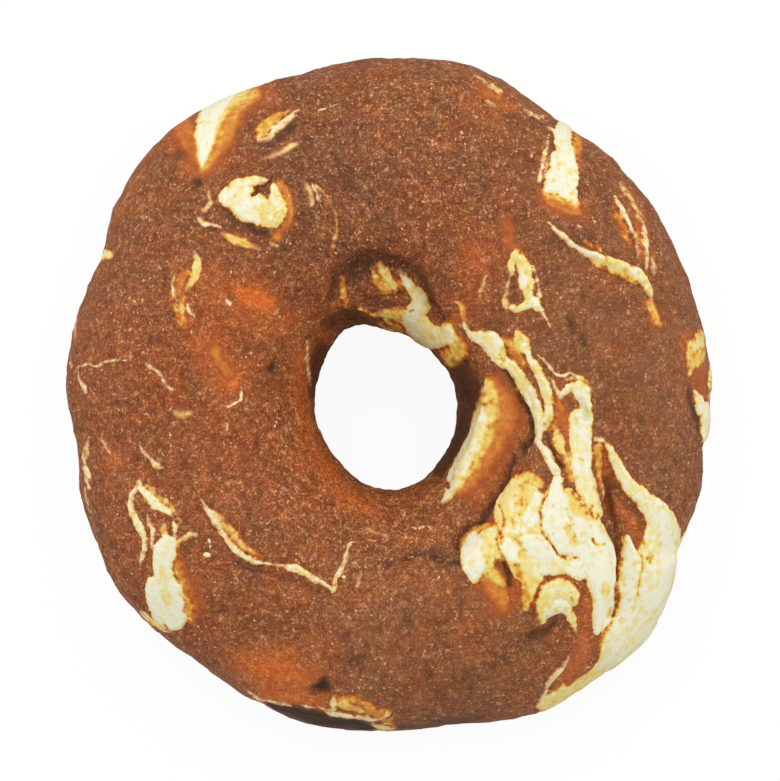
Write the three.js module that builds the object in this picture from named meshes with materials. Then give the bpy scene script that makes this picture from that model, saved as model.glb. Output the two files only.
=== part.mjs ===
// A savory doughnut: one hand-rolled ring of brown, finely grained dough with folds of pale cheese in it.
// Millimetres, +Z up. The ring lies flat on the plane z = 0, its plan is centred on the Z axis, and the big
// pale patch is at the lower right, towards +X and -Y. Angles round the ring are degrees anticlockwise from
// +X. Angles over the tube are degrees too: 0 is the outer waist, 90 the crown and 180 the hole's waist.

import * as THREE from "three";

// ---- Driving dimensions --------------------------------------------------------------------------------

const RING_RADIUS = 48; // outline, before its lumps
const HOLE_RADIUS = 11.3; // hole, before its shift and dents
const HOLE_SHIFT = [-0.45, -2.8]; // the hole sits off the middle of the ring
const HOLE_OVAL = 0.65; // the hole is longer along Y by this much at each end
const WAIST_HEIGHT = 14.5; // where the ring is widest and the hole narrowest
const CROWN_HEIGHT = 16.5; // from the waist up to the crown
const BELLY_DEPTH = 16.5; // from the waist down, before the underside settles flat at z = 0
const FLAT_FROM = -62; // tube angles where the flat underside begins, outside and inside
const FLAT_TO = 242;

const STEPS_ROUND = 136; // facets round the ring
const STEPS_OVER = 38; // facets over the tube, the last one being the flat underside

// Lumps of the outline, the hole and the crown: at (degrees round the ring), by (mm), spread (degrees).
const OUTLINE_LUMPS = [
  { at: 1, by: 0.1, spread: 7 },
  { at: 22, by: -0.5, spread: 7 },
  { at: 34, by: 0.5, spread: 9 },
  { at: 60, by: -0.7, spread: 8 },
  { at: 84, by: 2.0, spread: 12 },
  { at: 107, by: 1.2, spread: 10 },
  { at: 134, by: 2.9, spread: 12 },
  { at: 157, by: -0.9, spread: 6 },
  { at: 170, by: -0.7, spread: 8 },
  { at: 191, by: -0.9, spread: 5 },
  { at: 215, by: 2.1, spread: 12 },
  { at: 257, by: 3.4, spread: 11.5 },
  { at: 273, by: 0.5, spread: 7 },
  { at: 284, by: -0.6, spread: 6 },
  { at: 296, by: 4.4, spread: 11 },
  { at: 317, by: 3.9, spread: 8 },
  { at: 338, by: 0.8, spread: 5 },
];
const HOLE_LUMPS = [
  { at: 125, by: 1.8, spread: 22 },
  { at: 228, by: -1.3, spread: 22 },
  { at: 320, by: -0.9, spread: 20 },
];
const CROWN_LUMPS = [
  { at: 15, by: 0.7, spread: 18 },
  { at: 72, by: -0.8, spread: 16 },
  { at: 128, by: 0.6, spread: 20 },
  { at: 186, by: -1.2, spread: 16 },
  { at: 232, by: 0.5, spread: 18 },
  { at: 272, by: -0.9, spread: 14 },
];

// Soft swellings: where (a point of the skin), by (mm), spread (mm).
const SWELLINGS = [
  { where: top(4, 37), by: 0.7, spread: 9 }, // broad back of the ring
  { where: top(-34, 10), by: 0.8, spread: 8 },
  { where: top(-28, -24), by: 0.7, spread: 8 },
  { where: top(38, 8), by: 0.8, spread: 8 },
  { where: top(2, -38), by: 0.6, spread: 8 },
  { where: top(14.6, -3.5), by: 1.5, spread: 4 }, // roll of dough beside the hole
  { where: top(12.6, -12), by: 1.1, spread: 3.6 },
  { where: top(16.5, -24), by: 1.0, spread: 4 }, // lobes of the big pale patch
  { where: top(26.5, -19), by: 1.2, spread: 4.5 },
  { where: top(28, -29), by: 1.0, spread: 4 },
  { where: top(40, -24), by: 1.3, spread: 5 },
  { where: skin(20, -15), by: 0.5, spread: 7 }, // sides
  { where: skin(70, 20), by: 0.8, spread: 8 },
  { where: skin(118, -12), by: 1.0, spread: 8 },
  { where: skin(172, 5), by: 0.4, spread: 7 },
  { where: skin(228, -15), by: 0.3, spread: 8 },
  { where: skin(284, -5), by: 0.9, spread: 7 },
  { where: skin(345, 12), by: 0.8, spread: 6 },
];

// Folds where one layer of dough is pressed against the next: grooves that run out at both ends.
const FOLDS = [
  { // right of the roll of dough beside the hole
    along: [
      top(17.6, 3.2), top(20.8, -2.4), top(21.2, -7),
      top(17.2, -13.1), top(13.9, -18.5), top(8.2, -25.3),
    ],
    depth: 1.5, width: 1.5,
  },
  { along: [top(9.4, -24), top(2.5, -24.3), top(-3.5, -27)], depth: 1.0, width: 1.4 },
  { // between the big pale patch and the pale fold at the edge
    along: [top(31.3, -7.9), top(32.6, -15.9), top(34.2, -25), top(33.7, -32.5), top(31.4, -36.2)],
    depth: 1.3, width: 1.4,
  },
  { along: [top(16, -39.5), top(20.2, -36.8), top(26.1, -33.3)], depth: 0.8, width: 1.4 },
  { along: [skin(92, 22), skin(108, -2), skin(128, -10), skin(146, -2)], depth: 1.2, width: 1.7 }, // sides
  { along: [skin(196, 18), skin(212, -8), skin(236, -18)], depth: 1.1, width: 1.7 },
  { along: [skin(342, 30), skin(352, -4), skin(372, -16), skin(392, -6)], depth: 1.2, width: 1.7 },
];

// Ledges where a layer ends on top of another: the skin on the left of the line stands higher by height,
// half of it raised and half of it let down, so that the outline keeps its size.
const LEDGES = [
  { // the brow of dough over the far side of the hole
    along: [
      top(-9.5, 12.5), top(-7.5, 17), top(-3, 20.8), top(1.7, 19.6), top(5, 17), top(6.8, 13.2), top(10.2, 10.4),
    ],
    height: 2.2, reach: 5,
  },
  { // the shoulder of the roll beside the hole, over the hole's steep wall
    along: [top(14.5, 2), top(14.9, -2), top(13, -8), top(10.5, -12.5), top(8.3, -16)],
    height: 1.5, reach: 4,
  },
  { // lips of dough on the upper side
    along: [top(-27.8, -16), top(-21.5, -22.8), top(-11.8, -25.8), top(-8.3, -29.5), top(-5.5, -22.4)],
    height: 0.8, reach: 5,
  },
  { along: [top(23.5, 25.7), top(28, 22.2), top(37.7, 17.7), top(41, 11)], height: 0.8, reach: 5 },
  { along: [skin(242, 12), skin(252, 22), skin(264, 26), skin(274, 16)], height: 1.2, reach: 6 },
  { along: [skin(300, -30), skin(322, -12), skin(331, 20), skin(326, 46)], height: 1.3, reach: 7 },
  { along: [skin(40, 4), skin(62, -20), skin(84, -14)], height: 1.0, reach: 6 }, // sides
  { along: [skin(150, 24), skin(162, -2), skin(182, -22)], height: 1.1, reach: 6 },
];
const LEDGE_EASE = 1.3; // half the width over which a ledge steps down

// ---- Form ----------------------------------------------------------------------------------------------

function bell(distance, spread) {
  return Math.exp(-0.5 * (distance / spread) ** 2);
}

function lumpsAt(lumps, round) {
  const { euclideanModulo } = THREE.MathUtils;
  const away = (lump) => euclideanModulo(round - lump.at + 180, 360) - 180;
  return lumps.reduce((sum, lump) => sum + lump.by * bell(away(lump), lump.spread), 0);
}

function outlineRadius(round) {
  return RING_RADIUS + lumpsAt(OUTLINE_LUMPS, round);
}

function holeRadius(round) {
  const t = THREE.MathUtils.degToRad(round);
  const shifted = HOLE_SHIFT[0] * Math.cos(t) + HOLE_SHIFT[1] * Math.sin(t);
  return HOLE_RADIUS + shifted - HOLE_OVAL * Math.cos(2 * t) + lumpsAt(HOLE_LUMPS, round);
}

// A point of the smooth skin, without relief.
function skin(round, over) {
  const outer = outlineRadius(round);
  const hole = holeRadius(round);
  const o = THREE.MathUtils.degToRad(over);
  const t = THREE.MathUtils.degToRad(round);
  const radius = (outer + hole) / 2 + ((outer - hole) / 2) * Math.cos(o);
  const lift = Math.sin(o) * (Math.sin(o) > 0 ? CROWN_HEIGHT + lumpsAt(CROWN_LUMPS, round) : BELLY_DEPTH);
  return new THREE.Vector3(radius * Math.cos(t), radius * Math.sin(t), WAIST_HEIGHT + lift);
}

// The point of the smooth upper side over a plan position.
function top(x, y) {
  const round = THREE.MathUtils.radToDeg(Math.atan2(y, x));
  const outer = outlineRadius(round);
  const hole = holeRadius(round);
  const across = (Math.hypot(x, y) - (outer + hole) / 2) / ((outer - hole) / 2);
  return skin(round, THREE.MathUtils.radToDeg(Math.acos(THREE.MathUtils.clamp(across, -1, 1))));
}

function outwards(round, over) {
  const t = THREE.MathUtils.degToRad(round);
  const o = THREE.MathUtils.degToRad(over);
  return new THREE.Vector3(Math.cos(t) * Math.cos(o), Math.sin(t) * Math.cos(o), Math.sin(o));
}

// Where a line on the skin passes a point: how far off, how far to the left, and the share of its length.
function passing(line, point, normal) {
  const steps = line.slice(1).map((end, i) => new THREE.Vector3().subVectors(end, line[i]));
  const whole = steps.reduce((sum, step) => sum + step.length(), 0);
  let best = { distance: Infinity };
  let before = 0;
  steps.forEach((step, i) => {
    const from = new THREE.Vector3().subVectors(point, line[i]);
    const share = THREE.MathUtils.clamp(from.dot(step) / step.lengthSq(), 0, 1);
    const off = from.addScaledVector(step, -share);
    if (off.length() < best.distance) {
      const left = new THREE.Vector3().crossVectors(normal, step).normalize();
      best = { distance: off.length(), left: off.dot(left), share: (before + share * step.length()) / whole };
    }
    before += step.length();
  });
  return best;
}

function relief(point, normal) {
  const { smoothstep } = THREE.MathUtils;
  const runOut = (share) => smoothstep(share, 0, 0.15) * (1 - smoothstep(share, 0.85, 1));
  let height = 0;
  for (const { where, by, spread } of SWELLINGS) height += by * bell(point.distanceTo(where), spread);
  for (const { along, depth, width } of FOLDS) {
    const { distance, share } = passing(along, point, normal);
    height -= depth * bell(distance, width) * runOut(share);
  }
  for (const { along, height: step, reach } of LEDGES) {
    const { distance, left, share } = passing(along, point, normal);
    const raised = smoothstep(left, -LEDGE_EASE, LEDGE_EASE) - 0.5;
    height += step * raised * bell(distance, reach) * runOut(share);
  }
  return height;
}

function reliefPoint(round, over) {
  const point = skin(round, over);
  const normal = outwards(round, over);
  point.addScaledVector(normal, relief(point, normal));
  point.z = Math.max(0, point.z);
  return point;
}

// ---- Solid ---------------------------------------------------------------------------------------------

// Rows run in even steps over the tube from the outer edge of the flat underside to its inner edge.
function ringGeometry() {
  const geometry = new THREE.TorusGeometry(RING_RADIUS, CROWN_HEIGHT, STEPS_OVER, STEPS_ROUND);
  const positions = geometry.getAttribute("position");
  for (let i = 0; i < positions.count; i++) {
    const row = Math.floor(i / (STEPS_ROUND + 1)) % STEPS_OVER;
    const column = (i % (STEPS_ROUND + 1)) % STEPS_ROUND;
    const over = FLAT_FROM + ((FLAT_TO - FLAT_FROM) * row) / (STEPS_OVER - 1);
    const point = reliefPoint((360 * column) / STEPS_ROUND, over);
    const onFlat = row === 0 || row === STEPS_OVER - 1;
    positions.setXYZ(i, point.x, point.y, onFlat ? 0 : point.z);
  }
  geometry.computeVertexNormals();
  return geometry;
}

const dough = new THREE.MeshStandardMaterial({ color: 0x955e39, roughness: 0.62, metalness: 0 });

const ring = new THREE.Mesh(ringGeometry(), dough);
ring.name = "doughnut";

const doughnut = new THREE.Group();
doughnut.add(ring);

export default doughnut;
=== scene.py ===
"""A savory doughnut: one hand-rolled ring of brown, finely grained dough with pale cheese folded into it."""

import math

import bpy
import numpy as np
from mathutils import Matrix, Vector, noise


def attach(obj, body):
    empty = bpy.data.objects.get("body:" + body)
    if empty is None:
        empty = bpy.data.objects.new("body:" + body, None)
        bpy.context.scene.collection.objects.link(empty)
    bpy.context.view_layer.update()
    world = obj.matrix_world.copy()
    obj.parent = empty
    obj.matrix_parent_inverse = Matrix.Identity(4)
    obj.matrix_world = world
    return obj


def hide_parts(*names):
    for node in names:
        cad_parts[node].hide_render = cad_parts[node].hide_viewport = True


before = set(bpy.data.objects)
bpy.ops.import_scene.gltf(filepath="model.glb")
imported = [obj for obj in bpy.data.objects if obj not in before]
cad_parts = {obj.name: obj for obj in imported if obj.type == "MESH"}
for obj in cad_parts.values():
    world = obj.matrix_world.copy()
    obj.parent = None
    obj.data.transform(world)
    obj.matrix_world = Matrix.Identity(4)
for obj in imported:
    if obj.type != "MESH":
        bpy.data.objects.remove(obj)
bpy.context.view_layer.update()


# ---- The ring of dough ---------------------------------------------------------------------------------
# The real piece is one thick roll of dough, bent into a ring, pressed flat underneath and baked. These are
# the sizes of its outline, hole and crown. Lengths are in millimetres and angles in degrees: turn runs
# anticlockwise from +X round the ring, and over runs over the tube, 0 at the outer waist, 90 at the crown.

MM = 0.001
RING_RADIUS = 48
HOLE_RADIUS = 11.3
HOLE_SHIFT = (-0.45, -2.8)  # from the middle of the ring
HOLE_OVAL = 0.65  # longer by this along Y, and shorter along X
WAIST_HEIGHT = 14.5
CROWN_HEIGHT = 16.5  # over the waist
BELLY_DEPTH = 16.5  # under the waist, before the ring is pressed flat
FLAT_FROM = -62  # the flat underside lies between these two angles over the tube
FLAT_TO = 242

# Lumps of the outline, the hole and the crown: (turn, by how much, spread in degrees).
OUTLINE_LUMPS = [
    (1, 0.1, 7), (22, -0.5, 7), (34, 0.5, 9), (60, -0.7, 8), (84, 2.0, 12), (107, 1.2, 10),
    (134, 2.9, 12), (157, -0.9, 6), (170, -0.7, 8), (191, -0.9, 5), (215, 2.1, 12), (257, 3.4, 11.5),
    (273, 0.5, 7), (284, -0.6, 6), (296, 4.4, 11), (317, 3.9, 8), (338, 0.8, 5),
]
HOLE_LUMPS = [(125, 1.8, 22), (228, -1.3, 22), (320, -0.9, 20)]
CROWN_LUMPS = [
    (15, 0.7, 18), (72, -0.8, 16), (128, 0.6, 20), (186, -1.2, 16), (232, 0.5, 18), (272, -0.9, 14),
]


def bell(distance, spread):
    """1 at no distance, and down to 0 a few spreads away."""
    return np.exp(-0.5 * (distance / spread) ** 2)


def ease(value, low, high):
    """0 below low, 1 above high, and a smooth rise between them."""
    share = np.clip((value - low) / (high - low), 0, 1)
    return share * share * (3 - 2 * share)


def lumps_at(lumps, turn):
    """How much a list of lumps adds at a turn."""
    return sum(by * bell((turn - at + 180) % 360 - 180, spread) for at, by, spread in lumps)


def radii(turn):
    """The outline's and the hole's radius at a turn."""
    t = np.radians(turn)
    shifted = HOLE_SHIFT[0] * np.cos(t) + HOLE_SHIFT[1] * np.sin(t)
    hole = HOLE_RADIUS + shifted - HOLE_OVAL * np.cos(2 * t) + lumps_at(HOLE_LUMPS, turn)
    return RING_RADIUS + lumps_at(OUTLINE_LUMPS, turn), hole


def skin(turn, over):
    """Points of the smooth skin, without relief."""
    turn, over = np.asarray(turn, float), np.asarray(over, float)
    outer, hole = radii(turn)
    t, o = np.radians(turn), np.radians(over)
    radius = (outer + hole) / 2 + (outer - hole) / 2 * np.cos(o)
    lift = np.sin(o) * np.where(np.sin(o) > 0, CROWN_HEIGHT + lumps_at(CROWN_LUMPS, turn), BELLY_DEPTH)
    return np.stack([radius * np.cos(t), radius * np.sin(t), WAIST_HEIGHT + lift], -1)


def top(x, y):
    """Points of the smooth upper side over plan positions."""
    turn = np.degrees(np.arctan2(y, x))
    outer, hole = radii(turn)
    across = (np.hypot(x, y) - (outer + hole) / 2) / ((outer - hole) / 2)
    return skin(turn, np.degrees(np.arccos(np.clip(across, -1, 1))))


def outwards(turn, over):
    """The direction straight out of the skin."""
    t, o = np.radians(turn), np.radians(over)
    return np.stack([np.cos(t) * np.cos(o), np.sin(t) * np.cos(o), np.sin(o)], -1)


# Soft swellings: (a point of the skin, by how much, spread).
SWELLINGS = [
    (top(4, 37), 0.7, 9), (top(-34, 10), 0.8, 8), (top(-28, -24), 0.7, 8), (top(38, 8), 0.8, 8),
    (top(2, -38), 0.6, 8), (top(14.6, -3.5), 1.5, 4), (top(12.6, -12), 1.1, 3.6),
    (top(16.5, -24), 1.0, 4), (top(26.5, -19), 1.2, 4.5), (top(28, -29), 1.0, 4), (top(40, -24), 1.3, 5),
    (skin(20, -15), 0.5, 7), (skin(70, 20), 0.8, 8), (skin(118, -12), 1.0, 8), (skin(172, 5), 0.4, 7),
    (skin(228, -15), 0.3, 8), (skin(284, -5), 0.9, 7), (skin(345, 12), 0.8, 6),
]


def over_top(*plan):
    """A line over the upper side, through points in plan."""
    return np.array([top(x, y) for x, y in plan])


def round_side(*places):
    """A line on the skin, through (turn, over) places."""
    return np.array([skin(turn, over) for turn, over in places])


# Folds where one layer is pressed against the next: (line, depth, width). They run out at both ends.
FOLDS = [
    (over_top((17.6, 3.2), (20.8, -2.4), (21.2, -7), (17.2, -13.1), (13.9, -18.5), (8.2, -25.3)), 1.5, 1.5),
    (over_top((9.4, -24), (2.5, -24.3), (-3.5, -27)), 1.0, 1.4),
    (over_top((31.3, -7.9), (32.6, -15.9), (34.2, -25), (33.7, -32.5), (31.4, -36.2)), 1.3, 1.4),
    (over_top((16, -39.5), (20.2, -36.8), (26.1, -33.3)), 0.8, 1.4),
    (round_side((92, 22), (108, -2), (128, -10), (146, -2)), 1.2, 1.7),
    (round_side((196, 18), (212, -8), (236, -18)), 1.1, 1.7),
    (round_side((342, 30), (352, -4), (372, -16), (392, -6)), 1.2, 1.7),
]

# Ledges where a layer ends on top of another: (line, height, reach). The left of the line stands higher.
LEDGES = [
    (over_top((-9.5, 12.5), (-7.5, 17), (-3, 20.8), (1.7, 19.6), (5, 17), (6.8, 13.2), (10.2, 10.4)),
        2.2, 5),
    (over_top((14.5, 2), (14.9, -2), (13, -8), (10.5, -12.5), (8.3, -16)), 1.5, 4),
    (over_top((-27.8, -16), (-21.5, -22.8), (-11.8, -25.8), (-8.3, -29.5), (-5.5, -22.4)), 0.8, 5),
    (over_top((23.5, 25.7), (28, 22.2), (37.7, 17.7), (41, 11)), 0.8, 5),
    (round_side((242, 12), (252, 22), (264, 26), (274, 16)), 1.2, 6),
    (round_side((300, -30), (322, -12), (331, 20), (326, 46)), 1.3, 7),
    (round_side((40, 4), (62, -20), (84, -14)), 1.0, 6),
    (round_side((150, 24), (162, -2), (182, -22)), 1.1, 6),
]
LEDGE_EASE = 1.3
FADE_SHARE = 0.15  # folds and ledges run out over this share of their length, at each end
TINY = 1e-9  # keeps a division by nothing from failing


def passing(line, points, normals):
    """Where a line on the skin passes points: how far off, how far to the left, and its nearest place."""
    distance = np.full(len(points), np.inf)
    left = np.zeros(len(points))
    place = np.zeros(len(points))
    for number, (start, end) in enumerate(zip(line[:-1], line[1:])):
        step = end - start
        share = np.clip((points - start) @ step / (step @ step), 0, 1)
        off = points - start - share[:, None] * step
        away = np.linalg.norm(off, axis=1)
        side = np.cross(normals, step)
        side /= np.linalg.norm(side, axis=1)[:, None] + TINY
        nearer = away < distance
        distance = np.where(nearer, away, distance)
        left = np.where(nearer, (off * side).sum(1), left)
        place = np.where(nearer, number + share, place)
    return distance, left, place


def along(line, place):
    """How far along a line its numbered places lie."""
    lengths = np.concatenate([[0], np.cumsum(np.linalg.norm(np.diff(line, axis=0), axis=1))])
    return np.interp(place, np.arange(len(line)), lengths), lengths[-1]


def run_out(line, place):
    """1 along a line, and down to 0 at its two ends."""
    reached, length = along(line, place)
    share = reached / length
    return ease(share, 0, FADE_SHARE) * (1 - ease(share, 1 - FADE_SHARE, 1))


def large_relief(points, normals):
    """How far the swellings, folds and ledges lift the skin."""
    height = np.zeros(len(points))
    for where, by, spread in SWELLINGS:
        height += by * bell(np.linalg.norm(points - where, axis=1), spread)
    for line, depth, width in FOLDS:
        distance, left, place = passing(line, points, normals)
        height -= depth * bell(distance, width) * run_out(line, place)
    for line, step, reach in LEDGES:
        distance, left, place = passing(line, points, normals)
        raised = ease(left, -LEDGE_EASE, LEDGE_EASE) - 0.5
        height += step * raised * bell(distance, reach) * run_out(line, place)
    return height


# ---- The cheese folded into the dough --------------------------------------------------------------------
# The cheese is laid on the dough in streaks and patches before the roll is closed, so it shows as strands,
# lips and lobes that stand a little above the dough, with brown dough lying over some of them.
# Where it thins out under the dough it turns from cream through yellow and amber to orange.

# Tones run from bare dough through orange at 0.28, amber at 0.45, yellow at 0.62 and cream at 0.84 to white.
DOUGH = -1
WHITE = 1
CRUMB_EDGE = 0.15
layers = []


def cheese(line, tone, rise, soft, soft_right=None):
    """A streak of cheese along [(x, y, half width)]: its tone, its height and how soft its edges are. The
    edge on the right of the line may have a softness of its own."""
    layers.append(("cheese", line, soft, soft_right or soft, tone, rise))


def crumb(start, end, tone, rise):
    """A crumb, a speck or a hair: a streak so short that its two ends are enough."""
    cheese([start, end], tone, rise, CRUMB_EDGE)


def dough(line, tone, rise, soft, soft_right=None):
    """A strip where dough covers the cheese, or thins it down to a darker tone."""
    layers.append(("dough", line, soft, soft_right or soft, tone, rise))


# White wedge at the far left edge.
cheese([(-21.4, 45.4, 2.1), (-24.1, 42.4, 2.7), (-25.9, 38.9, 2.85), (-27.1, 35.9, 1.95),
    (-27.5, 33.1, 0.75)], 0.36, 0, 2.1, 1.8)
cheese([(-31, 40.6, 1.5), (-30.1, 38.2, 1.5), (-28.9, 35.5, 1.05)], 0.24, 0, 1.8)
cheese([(-22.4, 45.4, 1.65), (-25.1, 42.8, 1.8), (-26.7, 39.4, 1.65), (-27.5, 36.4, 1.17),
    (-27.8, 33.9, 0.45)], 0.6, 0.1, 1.35, 1.05)
cheese([(-23.6, 45.8, 1.44), (-26, 42.4, 1.71), (-27.1, 39.4, 1.65), (-27.4, 37, 1.23), (-27.7, 35.2, 0.78),
    (-27.8, 33.8, 0.18)], 1.05, 0.15, 1.05, 0.9)
cheese([(-23.8, 43.8, 1.05), (-21.4, 44.2, 0.9), (-19.7, 44.7, 0.6)], 0.46, 0, 1.35, 1.2)

# Lip and streak right of it.
cheese([(-19.4, 37.8, 0.45), (-18.7, 39.3, 0.9), (-17, 40.8, 0.96), (-15.1, 41.9, 0.45)],
    0.4, 0.2, 0.75, 0.6)
cheese([(-19.4, 37.5, 0.24), (-18.1, 37.9, 0.33), (-16.6, 39.3, 0.42), (-14.9, 40.9, 0.36),
    (-13.4, 42.4, 0.12)], 0.84, 0.5, 0.27, 0.36)
cheese([(-18.4, 34.9, 0.09), (-16.4, 35.6, 0.21), (-14.9, 36.5, 0.45), (-13.9, 37, 0.36)], 0.6, 0.2, 0.69)
cheese([(-10.6, 42.1, 0.07), (-10, 42.4, 0.17), (-9.4, 42.5, 0.09)], 0.85, 0.1, 0.15)
crumb((-8.8, 42.8, 0.07), (-8, 43, 0.14), 0.85, 0.1)

# Pale patch with a slot, upper left.
cheese([(-16.1, 30.9, 0.75), (-15.1, 28.9, 0.75), (-14.8, 26.8, 0.75), (-15.2, 25.1, 0.6)],
    0.3, 0, 0.75, 0.9)
cheese([(-16.9, 22.8, 0.6), (-16.1, 24.1, 0.45)], 0.25, 0, 0.9)
cheese([(-23.6, 29.2, 1.56), (-22.3, 28.8, 2.25), (-20.6, 27.9, 2.4), (-18.8, 27, 1.95),
    (-17.5, 26.4, 1.65)], 0.96, 0.45, 0.45, 0.39)
cheese([(-22.9, 30.6, 0.9), (-20.9, 31.3, 0.81), (-19.3, 31.6, 0.54), (-18.2, 31.4, 0.3)], 0.92, 0.45, 0.39)
cheese([(-17.1, 30.6, 0.51), (-16.7, 28.9, 1.05), (-16.4, 27, 1.2), (-16.7, 25.8, 0.9)], 0.9, 0.4, 0.51)
dough([(-18.1, 27, 0.9), (-16.7, 26.6, 0.9)], 0.64, 0, 1.8)
dough([(-17.9, 31.3, 0.18), (-18.7, 30.7, 0.33), (-19.6, 29.9, 0.45), (-20.3, 29.4, 0.27)],
    DOUGH, -0.7, 0.21)

# Thin marks round it.
cheese([(-12.2, 31.2, 0.21), (-11.6, 29.7, 0.36), (-11.4, 28.1, 0.3)], 0.56, 0.25, 0.36, 0.6)
cheese([(-11.5, 31.3, 0.12), (-10.7, 29.7, 0.21), (-10.1, 27.9, 0.12)], 0.7, 0.25, 0.33)
cheese([(-10.9, 31, 0.09), (-9.2, 29.4, 0.12), (-8.2, 27.4, 0.15), (-7.6, 25.6, 0.15), (-7.9, 23.6, 0.15),
    (-8.3, 21.8, 0.3)], 0.44, 0.15, 0.42)
cheese([(-26.8, 30, 0.18), (-26.6, 28.6, 0.33), (-27.4, 27.3, 0.33)], 0.62, 0.15, 0.45)
cheese([(-28.4, 26, 0.24), (-27.4, 25.3, 0.36), (-26.2, 25, 0.27), (-25, 24.7, 0.12)], 0.74, 0.2, 0.36)
cheese([(-24.8, 23.8, 0.36), (-23.2, 23, 0.6), (-21.4, 22.3, 0.66), (-19.3, 21.6, 0.3)],
    0.46, 0.15, 0.66, 0.6)
cheese([(-17.5, 22.3, 0.27), (-16.6, 21.9, 0.42)], 0.6, 0.1, 0.51)

# Yellow and orange streak, left.
cheese([(-29.8, 18.1, 0.3), (-30.8, 17.1, 0.75), (-31.4, 15.4, 0.9), (-31.4, 13.7, 0.84), (-31, 11.8, 0.75),
    (-30.5, 10, 0.45)], 0.28, 0, 0.75, 0.6)
cheese([(-28.9, 21, 0.18), (-28.4, 19.9, 0.45), (-28.4, 18.9, 0.72), (-28.7, 17.7, 0.69),
    (-29.3, 16.5, 0.54), (-29.9, 15.6, 0.3)], 0.62, 0.25, 0.51)
cheese([(-30.2, 15.4, 0.3), (-30.7, 13.9, 0.45), (-30.7, 12.2, 0.45), (-30.2, 10.2, 0.3)], 0.4, 0.1, 0.6)
cheese([(-32, 17.4, 0.09), (-32.2, 16.3, 0.14), (-32, 15.1, 0.15), (-31.6, 13.9, 0.18),
    (-31.3, 12.9, 0.1)], 0.62, 0.15, 0.24)
cheese([(-29.9, 13.2, 0.15), (-29.6, 12.3, 0.21), (-29.3, 11.7, 0.12)], 0.7, 0.15, 0.21)

# Crumbs below the hole.
crumb((3.4, -20.2, 0.1), (4, -20.2, 0.1), 0.85, 0.15)
crumb((4.6, -20.2, 0.12), (5.5, -19.9, 0.17), 0.9, 0.15)
crumb((5.9, -20, 0.12), (6.2, -20.2, 0.09), 0.85, 0.15)
crumb((7.3, -27.8, 0.1), (7.5, -27.4, 0.1), 0.9, 0.15)
cheese([(-3.2, -20.1, 0.15), (-1.9, -20.6, 0.3), (-0.4, -21.1, 0.15)], 0.46, 0.05, 0.6)
cheese([(-4.7, -28.9, 0.15), (-4.4, -27.8, 0.24), (-4.1, -26.8, 0.12)], 0.48, 0.05, 0.6)

# Crack marks on the left of the ring.
cheese([(-46.3, 4, 0.15), (-44.6, 4.2, 0.2), (-43.4, 4.1, 0.15), (-42.1, 4.6, 0.26), (-40.7, 4.9, 0.18),
    (-38.8, 5, 0.06)], 0.78, 0.25, 0.24)
cheese([(-46.3, 4, 0.12), (-46.3, 2.7, 0.15), (-46, 1.8, 0.24), (-45.4, 0.9, 0.34), (-45.1, 0.1, 0.18)],
    0.76, 0.25, 0.24)
cheese([(-36.5, 4.6, 0.09), (-35.6, 4, 0.24), (-34.6, 3.4, 0.28), (-33.7, 2.4, 0.21), (-33.1, 1.2, 0.21),
    (-32.2, 0.3, 0.07)], 0.62, 0.2, 0.33)
cheese([(-22.1, 1, 0.07), (-21.9, 0.1, 0.24), (-22.2, -0.8, 0.22), (-22.9, -1.3, 0.14),
    (-23.9, -2.2, 0.06)], 0.92, 0.3, 0.18)
cheese([(-31.7, -3, 0.24), (-30.5, -3.2, 0.42), (-29.5, -3.1, 0.27)], 0.52, 0.05, 0.75)
cheese([(-44.3, -6.5, 0.12), (-44.9, -7.6, 0.24), (-45.2, -9, 0.38), (-45.4, -10.2, 0.24)], 0.6, 0.25, 0.3)
cheese([(-45.4, -11.1, 0.3), (-45.1, -11.7, 0.48), (-44.9, -12.3, 0.36), (-45.1, -13.2, 0.27),
    (-44.9, -14.2, 0.21)], 0.84, 0.25, 0.27)
cheese([(-43.6, -6.6, 0.06), (-42.7, -7.6, 0.18), (-41.9, -8.7, 0.22), (-41.5, -9.4, 0.12)],
    0.56, 0.2, 0.24)
cheese([(-37.3, -7.6, 0.07), (-36.5, -8.8, 0.22), (-35.6, -10, 0.28), (-34.7, -10.8, 0.45),
    (-33.7, -11.1, 0.27)], 0.62, 0.2, 0.33, 0.39)
cheese([(-43.7, 20.2, 0.66), (-42.7, 20.7, 0.75), (-41.6, 20.6, 0.51)], 0.8, 0.1, 0.75, 0.6)
cheese([(-26, 6.6, 0.66), (-25, 4.8, 0.78), (-23.9, 2.9, 0.66)], 0.28, 0, 1.2)
cheese([(-47.5, 4.6, 0.09), (-47.3, 3.8, 0.15)], 0.8, 0.1, 0.21)

# Pale patch, lower left.
cheese([(-31.7, -24.4, 0.9), (-30.8, -27.1, 0.96), (-29.9, -29.8, 1.14), (-29.3, -32.2, 1.2),
    (-29.6, -33.8, 0.9)], 0.16, 0, 1.35, 0.9)
cheese([(-31.7, -24.8, 0.45), (-31.1, -27.1, 0.51), (-30.5, -29.5, 0.51), (-29.9, -31.9, 0.72),
    (-29.8, -33.4, 0.66)], 0.34, 0.05, 0.75, 0.6)
cheese([(-37.3, -13.7, 0.27), (-38.1, -15.1, 0.33), (-38.3, -16.5, 0.42), (-37.9, -18.3, 0.49),
    (-37.1, -20.2, 0.58), (-36.4, -21.8, 0.48), (-36.4, -23.2, 0.36), (-36.8, -24.4, 0.34),
    (-37, -25.8, 0.15)], 0.82, 0.35, 0.27)
cheese([(-36.1, -13.8, 0.3), (-34.7, -14.9, 0.45), (-33.2, -16.3, 0.48), (-32, -17.8, 0.45),
    (-31, -19.2, 0.24)], 0.46, 0.2, 0.45, 0.51)
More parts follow.
